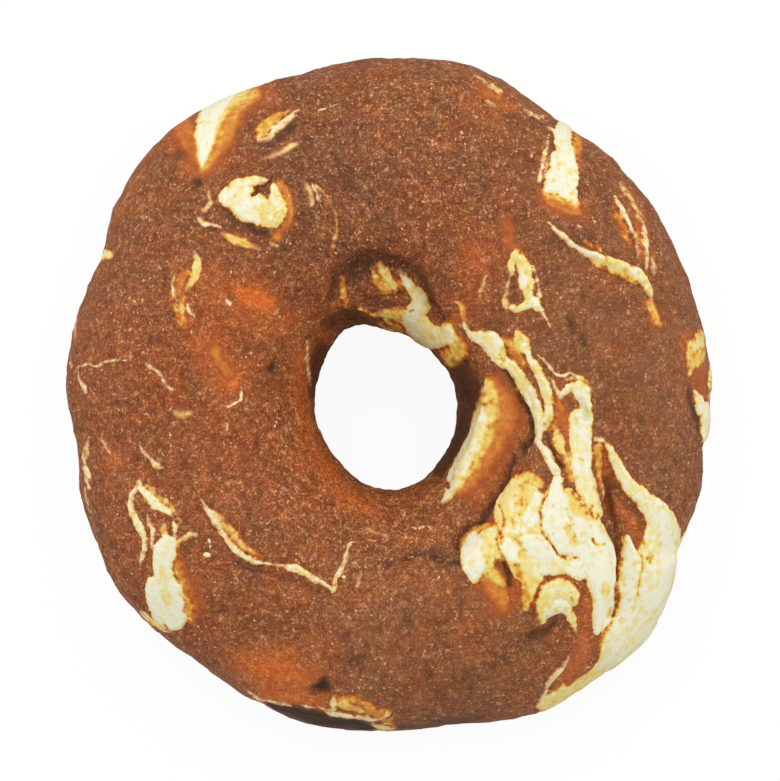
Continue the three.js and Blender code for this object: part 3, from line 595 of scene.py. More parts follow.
# Channel and tongue of dough between them.
dough([(31.9, -7.6, 0.3), (32.3, -9.4, 0.51), (32.6, -11.5, 0.75), (33.1, -13.7, 1.05), (33.7, -15.4, 1.35),
    (34.9, -17.1, 1.8), (35.9, -18.6, 1.74), (36.7, -20.4, 1.11), (37.3, -22.2, 0.39)], DOUGH, -0.6, 0.45)
dough([(32.8, -16.1, 0.75), (33.1, -18.1, 0.99), (33.7, -20.2, 1.11), (34.3, -22.1, 0.69),
    (34.5, -23.8, 0.48), (34.4, -25.9, 0.39), (34.2, -28.3, 0.3)], 0.1, -0.8, 0.45, 0.36)
dough([(34.1, -28.6, 0.27), (34, -31, 0.24), (33.7, -33.1, 0.24), (32.5, -35.5, 0.3), (31.3, -37, 0.45)],
    0.22, -0.7, 0.39, 0.36)
dough([(37.4, -24, 0.12), (37.6, -25.6, 0.17), (37.2, -27.3, 0.17), (37, -29.8, 0.09)], 0.4, -0.3, 0.36)
dough([(38.2, -24.4, 0.24), (38.8, -24.4, 0.3), (38.6, -25.1, 0.21)], 0.3, -0.1, 0.45)
dough([(37.9, -19.1, 0.21), (38, -20.7, 0.24), (37.9, -22.5, 0.21)], 0.45, -0.1, 0.6)
dough([(30.8, -37, 0.75), (29.9, -38.9, 1.44), (28.4, -40.8, 1.44), (26.6, -42.8, 0.75)], DOUGH, 0, 0.75)
cheese([(26.6, -39.4, 0.18), (25.7, -41.2, 0.33), (24.1, -42.6, 0.36), (23.5, -44.4, 0.3),
    (22.7, -46.2, 0.18)], 0.7, 0.35, 0.33)

# Salmon strip on the hole's left wall, and pale rims on the left outline.
cheese([(-12.4, 7.8, 0.1), (-12.1, 5.7, 0.27), (-11.8, 3.1, 0.26), (-11.5, 1.2, 0.1)], 0.5, 0.2, 0.3)
cheese([(-46.9, 12.2, 0.09), (-47, 10.3, 0.21), (-46.8, 8.2, 0.1)], 0.6, 0.1, 0.3)
cheese([(-45.5, -14.2, 0.12), (-45.1, -16.1, 0.22), (-44.5, -17.8, 0.12)], 0.5, 0.1, 0.36)
cheese([(-25.3, -1.3, 0.04), (-24.1, -2.1, 0.1), (-23.3, -1.8, 0.06)], 0.5, 0.1, 0.21)
cheese([(-23.5, -3.8, 0.04), (-23.9, -4.6, 0.09), (-24.1, -5.8, 0.04)], 0.5, 0.1, 0.21)

# Pale crumbs and specks stuck to the crust.
crumb((-27.3, -24, 0.28), (-26.8, -24.2, 0.24), 1.15, 0.3)
crumb((-26.8, -21.9, 0.18), (-26.7, -22.2, 0.15), 1.1, 0.25)
crumb((-26.6, -22.8, 0.18), (-26.6, -23.2, 0.18), 1.1, 0.25)
cheese([(-24, 13.7, 0.27), (-23.6, 13.3, 0.27)], WHITE, 0.35, 0.18)
crumb((-22.4, 14.8, 0.12), (-22.2, 14.6, 0.1), 0.9, 0.2)
crumb((-22.9, 13.9, 0.1), (-22.8, 13.7, 0.09), 0.8, 0.2)
crumb((-28.9, 11.7, 0.12), (-28.8, 11.4, 0.09), 0.74, 0.15)
crumb((-29.3, 9.2, 0.14), (-29.3, 8.8, 0.12), 0.74, 0.15)
crumb((28.2, 24.9, 0.18), (28.7, 24.6, 0.15), 0.62, 0.15)
crumb((3, -24.3, 0.17), (3.5, -24.3, 0.15), 0.95, 0.2)
crumb((-6.8, -27.3, 0.18), (-6.5, -27.4, 0.15), 0.95, 0.2)
crumb((22.3, 14.8, 0.17), (22.5, 14.5, 0.14), 0.9, 0.2)
cheese([(-28.5, 14.8, 0.33), (-28.3, 14.5, 0.33)], 0.3, 0.5, 0.21)


def round_the_side(*places):
    """A line of (turn, over, half width) on the skin, for the sides and the wall of the hole."""
    return [(*skin(turn, over), half) for turn, over, half in places]


def underneath(*places):
    """A line of (x, y, half width) on the flat underside."""
    return [(x, y, 0, half) for x, y, half in places]


# The outer side, going round anticlockwise from the right
cheese(round_the_side((2, 8, 1.6), (4, -8, 2.2), (7, -26, 1.8), (9, -40, 0.6)), 0.72, 0.3, 0.5, 0.6)
cheese(round_the_side((14, -16, 0.4), (24, -22, 0.9), (36, -26, 0.8), (47, -20, 0.3)), 0.66, 0.3, 0.4, 0.7)
cheese(round_the_side((54, -12, 0.3), (60, -18, 1.2), (66, -28, 2.2), (70, -46, 1.2)), 0.78, 0.3, 0.4, 1)
cheese(round_the_side((84, -24, 0.4), (96, -18, 1), (110, -20, 0.9), (124, -28, 0.4)), 0.7, 0.3, 0.4, 0.5)
cheese(round_the_side((127, -4, 0.8), (126, -10, 2.2), (123, -18, 1.8), (120, -34, 0.5)),
    0.8, 0.3, 0.9, 0.5)
cheese(round_the_side((138, -26, 0.3), (150, -22, 0.8), (160, -28, 1.1), (168, -40, 0.5)),
    0.6, 0.3, 0.4, 0.6)
cheese(round_the_side((172, -16, 0.4), (180, -20, 0.9), (190, -28, 0.8), (200, -24, 0.3)),
    0.66, 0.3, 0.4, 0.5)
cheese(round_the_side((204, -30, 0.5), (212, -26, 1.6), (222, -30, 2.2), (232, -24, 0.6)), 0.84, 0.3, 0.5)
cheese(round_the_side((225, -4, 0.8), (229, -12, 1.6), (238, -20, 1), (250, -22, 0.3)), 0.8, 0.3, 0.4, 0.7)
cheese(round_the_side((262, -24, 0.4), (272, -14, 1.2), (283, -18, 1), (292, -30, 0.4)), 0.62, 0.3, 0.5)
cheese(round_the_side((297, 4, 1.6), (299, -8, 3.2), (301, -26, 3), (305, -46, 1.2)), 0.74, 0.3, 0.9, 0.5)
cheese(round_the_side((314, 16, 5), (314, 0, 5.6), (312, -18, 4), (310, -36, 2.4)), 0.86, 0.4, 0.8, 0.6)
cheese(round_the_side((330, 6, 3), (332, -8, 4), (336, -22, 2.8), (342, -34, 0.8)), 0.88, 0.4, 0.6, 0.5)
dough(round_the_side((320, 4, 0.3), (321, -10, 1.2), (320, -26, 1.8), (318, -42, 1.8)),
    DOUGH, -0.5, 0.6, 0.5)
dough(round_the_side((305, 2, 0.2), (307, -12, 0.5), (307, -28, 0.6)), 0.1, -0.4, 0.4)
dough(round_the_side((330, -2, 0.2), (334, -12, 0.5), (339, -24, 0.4)), 0.2, -0.3, 0.5)

# The wall of the hole.
cheese(round_the_side((96, 168, 0.5), (88, 182, 1), (84, 200, 0.8), (86, 220, 0.3)), 0.5, 0.2, 0.4, 0.6)
cheese(round_the_side((206, 174, 0.3), (214, 190, 0.9), (226, 204, 0.7), (236, 216, 0.3)),
    0.6, 0.2, 0.4, 0.6)
cheese(round_the_side((330, 190, 0.4), (338, 206, 1.2), (344, 224, 0.6)), 0.6, 0.2, 0.4, 0.6)

# The underside.
cheese(underneath((30, -14, 0.4), (33, -4, 1), (32, 7, 1.4), (27, 16, 0.5)), 0.62, 0, 0.5, 0.9)
cheese(underneath((20, 24, 0.4), (10, 29, 0.9), (-3, 30, 1.1), (-14, 26, 0.4)), 0.7, 0, 0.5, 0.7)
cheese(underneath((-30, 12, 0.4), (-33, 2, 1.8), (-29, -8, 2.4), (-27, -16, 0.8)), 0.76, 0, 0.5, 1.2)
cheese(underneath((-18, -26, 0.4), (-8, -31, 1), (4, -30, 0.8), (12, -33, 0.3)), 0.66, 0, 0.5)
cheese(underneath((17, -33, 2.2), (23, -28, 3.2), (28, -22, 2), (29, -16, 0.6)), 0.8, 0, 0.7, 0.6)
dough(underneath((20, -32, 0.3), (24, -26, 0.6), (26, -20, 0.3)), 0.1, 0, 0.5)


def smooth_line(points, steps=5):
    """A smooth line through a few chosen points."""
    points = np.array(points, float)
    before, after = 2 * points[0] - points[1], 2 * points[-1] - points[-2]
    spine = np.vstack([before, points, after])
    line = []
    for a, b, c, d in zip(spine, spine[1:], spine[2:], spine[3:]):
        for t in np.arange(steps) / steps:
            bend = (2 * a - 5 * b + 4 * c - d) * t * t + (3 * b - a - 3 * c + d) * t ** 3
            line.append(b + ((c - a) * t + bend) / 2)
    return np.array(line + [points[-1]])


def near(points, line, reach):
    """Which points lie in a box round a line."""
    low, high = line.min(0) - reach, line.max(0) + reach
    return np.nonzero(((points > low) & (points < high)).all(1))[0]


def seen_from_above(line, points):
    """How far a line in plan passes from points, how far to its left they lie, and where along it.
    Below the waist the distance grows with the drop, so that streaks run out down the sides."""
    distance = np.full(len(points), np.inf)
    left = np.zeros(len(points))
    place = np.zeros(len(points))
    drop = np.maximum(WAIST_HEIGHT - points[:, 2], 0)
    for number, (start, end) in enumerate(zip(line[:-1], line[1:])):
        step = end - start
        length = math.hypot(*step) + TINY
        off = points[:, :2] - start
        share = np.clip(off @ step / length ** 2, 0, 1)
        off -= share[:, None] * step
        away = np.hypot(np.hypot(off[:, 0], off[:, 1]), drop)
        nearer = away < distance
        distance = np.where(nearer, away, distance)
        left = np.where(nearer, (step[0] * off[:, 1] - step[1] * off[:, 0]) / length, left)
        place = np.where(nearer, number + share, place)
    return distance, left, place


def higher(first, second, soft):
    """The higher of two values, rounded where they meet."""
    overlap = np.maximum(soft - np.abs(first - second), 0) / soft
    return np.maximum(first, second) + overlap ** 2 * soft / 4


REACH = 3.0  # how far from its edge a streak still says anything
FAR = 99.0  # farther than any edge
DEEPEST = -4.0  # the tone of dough with no cheese near it
SHOWS = -0.5  # from this tone up, a streak sets the run of the fibres
THINNEST = 0.03
EDGE_SOFTNESS = 0.45  # softer edges than this hardly fray
DOUGH_EDGE = 0.4  # how much an edge of dough frays, with cheese at 1
SIDE_FARNESS = 1.8  # edges on the sides count as this much farther off, and so get fewer faces
PALE_TONE = (0.38, 0.5)  # from the first tone to the second, a thin strand turns pale
PALE_WIDTH = (0.2, 0.65)  # strands up to the first half width are thin, and from the second on broad
MERGE = 0.15
FIBRE_STEP = 7.3  # keeps one strand's fibres apart from the next one's


def lay(raised, points, normals):
    """What the layers give each point: tone, height, nearness of an edge, that edge's sharpness, how thin
    and pale its strand is, and the point's place along it. Lines in plan are met by the raised points,
    lines round the side by the plain skin's."""
    tone = np.full(len(points), DEEPEST)
    height = np.zeros(len(points))
    edge = np.full(len(points), FAR)
    crisp = np.zeros(len(points))
    thin = np.zeros(len(points))
    strand = np.zeros((len(points), 3))
    strand[:, :2] = raised[:, :2]
    for number, (kind, chosen, soft_left, soft_right, full_tone, rise) in enumerate(layers):
        samples = smooth_line(chosen)
        line = samples[:, :-1]
        widths = np.maximum(samples[:, -1], THINNEST)
        reach = REACH + widths.max()
        in_plan = line.shape[1] == 2
        if in_plan:
            some = near(raised[:, :2], line, reach)
            some = some[raised[some, 2] > WAIST_HEIGHT - reach]
        else:
            some = near(points, line, reach)
        if not len(some):
            continue
        if in_plan:
            distance, left, place = seen_from_above(line, raised[some])
        else:
            distance, left, place = passing(line, points[some], normals[some])
        half = np.interp(place, np.arange(len(line)), widths)
        inside = half - distance
        softness = soft_right + (soft_left - soft_right) * ease(left / half, -1, 1)
        sharpness = np.exp(-softness / EDGE_SOFTNESS) * (1 - ease(np.abs(inside), 0.1, 0.6))
        sharpness *= 1 if kind == "cheese" else DOUGH_EDGE
        crisp[some] = np.maximum(crisp[some], sharpness)
        edge[some] = np.minimum(edge[some], np.abs(inside) * (1 if in_plan else SIDE_FARNESS))
        if kind == "cheese":
            laid = full_tone * ease(inside / softness, -0.5, 0.5) + np.minimum(inside / softness + 0.5, 0)
            uppermost = (laid > tone[some]) & (laid > SHOWS)
            mine = np.stack([along(line, place)[0], left, np.full(len(some), number * FIBRE_STEP)], -1)
            strand[some] = np.where(uppermost[:, None], mine, strand[some])
            pale = ease(full_tone, *PALE_TONE) * (1 - ease(half, *PALE_WIDTH))
            thin[some] = np.where(uppermost, pale, thin[some])
            tone[some] = higher(tone[some], np.maximum(laid, DEEPEST), MERGE)
            rounded = 0.6 + 0.4 * np.sqrt(np.clip(1 - (distance / half) ** 2, 0, 1))
            height[some] = np.maximum(height[some], rise * ease(inside, -0.25, 0.45) * rounded)
        else:
            cover = np.maximum(0.5 - inside / softness, full_tone)
            tone[some] = -higher(-tone[some], -cover, MERGE)
            height[some] += rise * ease(inside, -0.3, 0.35)
    return tone, height, edge, crisp, thin, strand


# Where the dough is thin over cheese or fat it glows orange: ([(x, y, half width)], softness, strength).
GLOWS = [
    ([(-22.7, 15.3, 0.75), (-21.4, 14.5, 1.35), (-19.6, 13.9, 1.65), (-17.8, 13.3, 1.2)], 0.75, 1),
    ([(-25, 13.9, 2.7), (-20.5, 13.2, 3.9), (-16.9, 10.7, 2.4)], 3.3, 0.42),
    ([(-26.6, 7.5, 0.45), (-25.6, 5.8, 0.96), (-24.4, 3.8, 1.35), (-23.2, 1.5, 1.05)], 0.6, 1),
    ([(-27.5, 7.2, 2.1), (-23.8, 1.6, 2.7)], 2.7, 0.5),
    ([(13.7, 46, 0.75), (15.8, 44.2, 0.9), (18.5, 42.8, 0.6)], 1.2, 0.5),
    ([(12.2, 43.4, 0.9), (15.5, 41.5, 0.75)], 1.5, 0.3),
    ([(-13.3, 6.5, 0.75), (-12.8, 1.9, 0.9), (-12.4, -2.5, 1.05), (-11.2, -7, 1.2), (-9.1, -11.2, 1.2),
        (-6.5, -14.8, 1.2), (-3.1, -17.2, 0.9)], 1.8, 0.55),
    ([(-20.8, -40.6, 1.8), (-17, -41.2, 3), (-12.5, -42.8, 2.1)], 3, 0.75),
    ([(-14.5, -38.9, 1.2), (-13.3, -40, 1.2)], 1.5, 0.5),
    ([(-19, -45.1, 0.75), (-15.1, -45.3, 1.2), (-10.6, -46, 0.9)], 1.35, 0.75),
    ([(-31.9, 38.7, 0.9), (-30.7, 36.4, 1.8), (-28.9, 34, 1.8)], 2.4, 0.6),
    ([(-23.8, 40, 1.5), (-25, 37.4, 1.5), (-26.2, 34.9, 1.2)], 2.1, 0.6),
    ([(-22.9, 42.8, 1.8), (-20.5, 43.9, 1.8), (-18.4, 44.9, 1.2)], 1.8, 0.6),
    ([(23.6, 28.9, 1.05), (25.7, 27.9, 1.2), (28.4, 27.1, 0.9)], 1.35, 0.8),
    ([(19.7, -25.1, 0.6), (19.1, -28.6, 1.2), (16.7, -31.6, 1.8)], 1.8, 0.6),
    ([(36.5, 28.9, 0.75), (37.7, 25.1, 0.9), (37.9, 20.6, 0.6)], 0.9, 0.6),
    ([(12.2, 21.4, 1.5), (13.4, 18.1, 1.2)], 2.1, 0.5),
    ([(14.6, 19.6, 3), (12.2, 13.9, 2.1)], 3.6, 0.25),
    ([(18.5, 1.9, 1.2), (19.1, -4, 1.5), (17.3, -8.5, 1.8), (13.7, -14.8, 1.8)], 2.4, 0.5),
    ([(25.7, -1.6, 0.75), (26.6, -5.8, 0.9), (27.2, -8.8, 0.9)], 1.2, 0.6),
    ([(29.6, -35.9, 0.9), (28.7, -38.9, 1.2), (26.6, -42.4, 0.9)], 1.5, 0.6),
    ([(29.9, -31, 0.9), (29.6, -34, 0.9)], 1.2, 0.6),
    ([(32.3, -8.5, 0.6), (32.3, -12.4, 0.75)], 1.2, 0.6),
    ([(34.1, -16.8, 0.75), (36.2, -19.1, 0.9), (37.7, -22.1, 0.75)], 1.2, 0.5),
    ([(44.3, 7.9, 1.2), (46.4, 3.4, 1.2), (47, 0.1, 0.9)], 1.5, 0.5),
    ([(-42.1, -8.2, 0.75), (-40.6, -10.3, 0.9)], 1.2, 0.5),
    ([(-46.9, 10.9, 0.45), (-46.9, 7.9, 0.45)], 0.75, 0.5),
    ([(-30.7, 13.9, 0.9), (-29.8, 10, 0.9)], 1.5, 0.5),
    ([(-28.9, -27.8, 0.75), (-28, -31.6, 0.9)], 1.2, 0.5),
    ([(-15.7, 28.1, 0.9), (-14.8, 25.6, 0.75)], 1.05, 0.5),
    ([(10, 11.2, 0.75), (9.5, 9.4, 0.75)], 1.2, 0.6),
    ([(17.6, 23.7, 0.75), (18.2, 21.8, 0.75)], 1.2, 0.4),
    ([(-8.8, 15.4, 1.2), (-7.3, 10.9, 0.9)], 2.1, 0.25),
    ([(-26.5, 18.4, 2.1), (-26.2, 13.9, 2.7), (-27.1, 8.7, 2.4)], 2.7, 0.22),
    ([(-35.5, 36.4, 0.9), (-40.3, 28.9, 0.9), (-42.1, 23.7, 0.75)], 1.5, 0.2),
]

# Dark pits, creases and marks: ([(x, y, half width)], depth, darkness).
# Their darkness is mostly painted shade, in the creases, the pits, the recess over the hole, down the hole's
# wall and along the near rim.
CREASES = [
    ([(-8.5, 13.9, 0.45), (-7.6, 17.6, 0.6), (-5.5, 19.6, 0.75), (-2.5, 20.4, 0.9), (0.5, 19.6, 0.9),
        (3.5, 18.4, 0.75), (5.3, 16.3, 0.6), (6.2, 13.2, 0.6), (7.7, 10.7, 0.45)], 0.9, 0.4),
    ([(-6.5, 18.1, 0.9), (-4.3, 18.4, 1.2), (-1.9, 19.6, 0.9)], 0.8, 0.5),
    ([(-8.8, 10.2, 1.05), (-6.5, 11.2, 1.05), (-4, 10.9, 0.75)], 0.5, 0.5),
    ([(-10, 6.5, 0.9), (-10.9, 3.1, 0.75), (-11.3, -0.3, 0.6)], 0.2, 0.55),
    ([(10.7, 3.8, 1.35), (11.8, 1.3, 1.8), (11.8, -1.1, 1.35), (11.2, -4, 0.97), (10.1, -7, 0.9),
        (8.6, -9.9, 0.75), (7.3, -11.8, 0.6)], 0.3, 0.7),
    ([(17.5, 3.3, 0.3), (19.1, 0.4, 0.36), (20.2, -1.8, 0.36), (21.2, -4, 0.39), (21.4, -6.1, 0.39),
        (20.6, -7.8, 0.39), (19, -9.4, 0.36), (17.9, -11.5, 0.36), (17.2, -13.7, 0.36), (15.7, -15.6, 0.36),
        (14.8, -17.7, 0.36), (13.4, -19.3, 0.45), (11.6, -20.6, 0.53), (10.4, -22.8, 0.53)], 0.6, 0.8),
    ([(10.4, -25.3, 0.3), (7.9, -24.8, 0.27), (4.9, -24.1, 0.3), (1.7, -24.9, 0.27), (-1, -25.9, 0.12)],
        0.5, 0.7),
    ([(10.1, -24.8, 0.75), (7.7, -24.4, 0.75), (4.9, -23.7, 0.75), (2, -24.4, 0.6)], 0.1, 0.25),
    ([(-3.2, -33.8, 0.3), (-1.3, -34.6, 0.36), (1.1, -35.5, 0.36), (3.1, -36.1, 0.3)], 0.2, 0.3),
    ([(2.3, -32.9, 0.51), (2.9, -33.9, 0.6), (3.4, -34.8, 0.45)], 0.2, 0.45),
    ([(10.1, -28.9, 0.3), (10.7, -30.8, 0.36), (10.4, -32.9, 0.3)], 0.2, 0.25),
    ([(15.8, -41.2, 0.24), (16.7, -39.8, 0.3), (18.2, -38.7, 0.3), (19.9, -38.2, 0.21)], 0.2, 0.3),
    ([(28.7, -1.3, 0.39), (29.3, -2.5, 0.54), (29.6, -3.8, 0.39)], 0.3, 0.6),
    ([(-17.3, 3.6, 0.67), (-17, 4, 0.53)], 0.9, 0.95),
    ([(-10.5, -44.3, 0.72), (-9.6, -43.6, 0.9)], 1.1, 1.1),
    ([(-5.8, -40.2, 0.75), (-4.6, -39.9, 0.9), (-3.7, -39.6, 0.6)], 0.3, 0.4),
    ([(-31.4, 35.5, 0.75), (-30.7, 36, 0.6)], 0.2, 0.6),
    ([(-28.7, 31.3, 0.67), (-28.1, 31.6, 0.53)], 0.2, 0.65),
    ([(20.2, -37, 0.3), (22, -36, 0.54), (23.6, -35.5, 0.45), (25.1, -34.4, 0.3)], 0.5, 0.6),
    ([(26.2, 12, 0.18), (27.2, 10.2, 0.27), (28.4, 8.4, 0.3), (30.1, 6.3, 0.21)], 0.4, 0.65),
    ([(17.3, -25.3, 0.3), (17.8, -26.8, 0.39), (18.1, -28.6, 0.33)], 0.4, 0.6),
    ([(45.1, 0.4, 0.27), (45.5, -1.8, 0.39), (46.4, -3.9, 0.45), (46.6, -5.8, 0.33)], 0.4, 0.6),
    ([(23.6, -6.1, 0.18), (24.2, -8.5, 0.27), (25.3, -10.3, 0.27), (26.5, -11.8, 0.21)], 0.4, 0.6),
    ([(28, 22.2, 0.3), (31.7, 19.1, 0.45), (35.5, 17.2, 0.45), (37.7, 16.1, 0.3)], 0.25, 0.35),
    ([(-17.8, 37, 0.38), (-15.7, 38.4, 0.6), (-13.9, 40.4, 0.45)], 0.3, 0.5),
    ([(-22.9, -25.1, 0.3), (-19.6, -26.6, 0.36), (-15.5, -27.3, 0.3), (-10.6, -29.5, 0.3)], 0.2, 0.25),
    ([(20, -36.9, 0.45), (22, -36.3, 0.6), (23.9, -36, 0.38)], 0.3, 0.45),
    ([(-24.1, 27, 0.6), (-22.3, 25.5, 0.75), (-20, 24.4, 0.75), (-18.1, 23.8, 0.45)], 0.15, 0.45),
    ([(17.5, -27.1, 0.22), (18.1, -28.8, 0.3)], 0.2, 0.5),
    ([(7.7, -34, 0.6), (8.9, -33.8, 0.45)], 0.15, 0.3),
    ([(11.6, -42.1, 0.6), (12.5, -41.9, 0.45)], 0.15, 0.3),
    ([(6.2, -42.3, 0.45), (6.5, -41.9, 0.45)], 0.15, 0.3),
    ([(-18.1, -46.6, 0.36), (-15.7, -47.4, 0.66), (-12.7, -48.1, 0.9), (-9.7, -49, 0.96),
        (-6.7, -49.6, 0.9), (-4, -49.9, 0.69), (-2.5, -50.1, 0.36)], 0.3, 1),
    ([(1.7, -49.9, 0.45), (7.7, -49.6, 0.45), (13.7, -48.9, 0.45)], 0.1, 0.45),
    ([(32.6, -12.8, 0.24), (33.5, -16.1, 0.24), (34.3, -20.6, 0.21), (34.4, -25.1, 0.18), (34, -29.5, 0.18),
        (32.9, -33.4, 0.18)], 0.3, 0.45),
]

# Where the crust browned differently, with painted light and shade: (x, y, spread, warmth, shade, coarseness
# of its grain).
# The shade is partly real browning and partly painted: painted shade over the upper middle, in the recess
# above the hole and along the near rim, and painted light just below the hole.
TINTS = [
    (-30, -4, 18, 0.9, 0.06, 0), (-22, 14, 12, 0.5, 0.05, 0.1), (-10, 30, 12, -0.3, -0.22, 0.1),
    (6, 40, 14, 0.3, 0.06, 0.15), (38, 2, 13, -0.7, 0, -0.25), (26, 28, 12, -0.3, -0.06, -0.1),
    (4, -36, 16, -0.5, 0.06, -0.2), (-40, 30, 12, -0.5, -0.06, 0), (-8, 18, 7, 0, -0.12, 0),
    (-30, -36, 12, 0.2, -0.06, 0.1), (12, 22, 7, 0.6, 0, 0.1), (-6, -18, 9, 0.4, 0.06, 0.3),
    (10, -47, 6, 0, -0.16, 0), (-13, -5, 4, 0.3, 0.12, 0.4), (4, -19, 6, 0.2, 0.08, 0.2),
]
GLOW_DROP = 8  # how far below the waist a glow may reach


def tint_at(points):
    """The warmth, shade and coarseness at each point."""
    tints = np.zeros((3, len(points)))
    for x, y, spread, *changes in TINTS:
        here = bell(np.hypot(points[:, 0] - x, points[:, 1] - y), spread)
        tints += np.array(changes)[:, None] * here
    return tints[0], tints[1], np.clip(1 + tints[2], 0.4, 1.3)


def met(chosen, points, reach, drop):
    """A chosen line's distance from the points near it, its half width there, and which points they are."""
    samples = smooth_line(chosen)
    line = samples[:, :2]
    some = near(points[:, :2], line, reach)
    some = some[points[some, 2] > WAIST_HEIGHT - drop]
    distance, left, place = seen_from_above(line, points[some])
    return distance, np.interp(place, np.arange(len(line)), samples[:, 2]), some


def glow_at(points):
    """How strongly each point glows."""
    glow = np.zeros(len(points))
    for chosen, softness, strength in GLOWS:
        widest = smooth_line(chosen)[:, 2].max()
        distance, half, some = met(chosen, points, widest + softness, GLOW_DROP)
        glow[some] = higher(glow[some], strength * ease(half - distance, -softness, softness), 0.1)
    return glow


def crease_at(points):
    """The depth of the creases at each point, and their darkness, which is mostly painted shade."""
    depth = np.zeros(len(points))
    crease_and_pit_shade = np.zeros(len(points))
    for chosen, sunk, darkness in CREASES:
        distance, half, some = met(chosen, points, REACH, REACH)
        half = np.maximum(half, 0.05)
        depth[some] = np.maximum(depth[some], sunk * bell(distance, half))
        crease_and_pit_shade[some] = np.maximum(crease_and_pit_shade[some], darkness * np.exp(-0.5 * (distance / half) ** 4))
    return depth, crease_and_pit_shade


# The ring is shaped from a torus: it is split finely on its upper side, and finer still along the edges of
# the cheese, and then every point is moved to its place on the skin.
TORUS_RADIUS = 0.030
TORUS_TUBE = 0.016
STEPS_ROUND = 256
STEPS_OVER = 90
FLAT_ROWS = 15  # degrees of the plain torus, each side of its lowest point, that make the flat underside
EVENNESS = 0.75  # of the rows over the skin, which lie closer together over the crown than below
SPLIT_WITHIN = (0.66, 0.16)  # faces this near an edge of the cheese are split, once for each


def angles(mesh):
    """Each vertex's turn and over, read from its place on the plain torus, and how far round the tube it
    is from the lowest point."""
    places = np.zeros(len(mesh.vertices) * 3)
    mesh.vertices.foreach_get("co", places)
    x, y, z = places.reshape(-1, 3).T
    turn = np.degrees(np.arctan2(y, x))
    plain = np.degrees(np.arctan2(z, np.hypot(x, y) - TORUS_RADIUS))
    # The plain torus has even rows. The flat underside takes only the few rows round -90.
    spread = (plain + 90) % 360
    row = (spread - 180) / (180 - FLAT_ROWS)
    uneven = EVENNESS * row + (1 - EVENNESS) * row ** 3
    over = (FLAT_TO + FLAT_FROM) / 2 + (FLAT_TO - FLAT_FROM) / 2 * uneven
    return turn, over, spread


def skin_points(mesh):
    """Each vertex's point of the skin, the direction out of it, and its flatness: 0 on the round skin, and
    up to 1 in the middle of the flat underside."""
    turn, over, spread = angles(mesh)
    over = np.clip(over, FLAT_FROM, FLAT_TO)
    points = skin(turn, over)
    normals = outwards(turn, over)
    # Across the flat underside, points run straight from its outer edge to its inner edge.
    outer_edge, inner_edge = skin(turn, FLAT_FROM), skin(turn, FLAT_TO)
    past_lowest = np.where(spread < 180, spread, spread - 360)
    share = (FLAT_ROWS + past_lowest) / (2 * FLAT_ROWS)
    flatness = np.clip(1 - np.abs(past_lowest) / FLAT_ROWS, 0, 1)
    flat = (flatness > 0)[:, None]
    bottom = inner_edge + (outer_edge - inner_edge) * share[:, None]
    bottom[:, 2] = 0
    return np.where(flat, bottom, points), np.where(flat, (0, 0, -1), normals), flatness


def select_faces(mesh, chosen):
    """Select these faces, and nothing else, in edit mode."""
    bpy.ops.object.mode_set(mode="EDIT")
    bpy.ops.mesh.select_mode(type="FACE")
    bpy.ops.mesh.select_all(action="DESELECT")
    bpy.ops.object.mode_set(mode="OBJECT")
    mesh.polygons.foreach_set("select", chosen)
    bpy.ops.object.mode_set(mode="EDIT")


def face_lowest(mesh, values):
    """The lowest value among each face's corners."""
    corner = np.zeros(len(mesh.loops), int)
    mesh.loops.foreach_get("vertex_index", corner)
    starts = np.zeros(len(mesh.polygons), int)
    mesh.polygons.foreach_get("loop_start", starts)
    return np.minimum.reduceat(values[corner], starts)


bpy.ops.object.select_all(action="DESELECT")
bpy.ops.mesh.primitive_torus_add(
    major_radius=TORUS_RADIUS,
    minor_radius=TORUS_TUBE,
    major_segments=STEPS_ROUND,
    minor_segments=STEPS_OVER,
)
ring = bpy.context.active_object
ring.name = "doughnut_ring"
mesh = ring.data

for closeness in SPLIT_WITHIN:
    points, normals, flat = skin_points(mesh)
    raised = points + normals * large_relief(points, normals)[:, None]
    edge = lay(raised, points, normals)[2]
    select_faces(mesh, face_lowest(mesh, edge) < closeness)
    bpy.ops.mesh.subdivide(number_cuts=1, smoothness=0, ngon=False)
    bpy.ops.object.mode_set(mode="OBJECT")

points, normals, flat = skin_points(mesh)

# How far the edges of the streaks wander, over what length, and a seed: broadly, and finely on top of that.
WAVER = (0.22, 1.6, 3)
FINE_WAVER = (0.12, 0.6, 9)
noise.seed_set(5)  # noise_vector is shifted by a seed, which would otherwise come from the clock


def wander(points, by, size, seed):
    """A smooth random shift for each point."""
    shifts = [noise.noise_vector(Vector(point) / size + Vector((seed, seed, seed))) for point in points]
    return by * np.array(shifts)


def rough(points, by, size, seed):
    """A smooth random height between about -by and by for each point."""
    heights = [noise.noise(Vector(point) / size + Vector((seed, 0, seed))) for point in points]
    return by * np.array(heights)


relief = large_relief(points, normals)
shake = wander(points, *WAVER) + wander(points, *FINE_WAVER)
raised = points + normals * relief[:, None] + shake
tone, cheese_height, edge, crisp, thin, strand = lay(raised, points + shake, normals)
sunk, crease_and_pit_shade = crease_at(raised)
glow = glow_at(raised)
warmth, browning_and_painted_light, coarse = tint_at(points)

# Low down the crust is darker, and where it lay on the tray a little paler.
LOW_BAND = 6
low = np.clip(1 - points[:, 2] / LOW_BAND, 0, 1) * (1 - flat)
browning_and_painted_light = browning_and_painted_light - 0.10 * low + 0.04 * flat

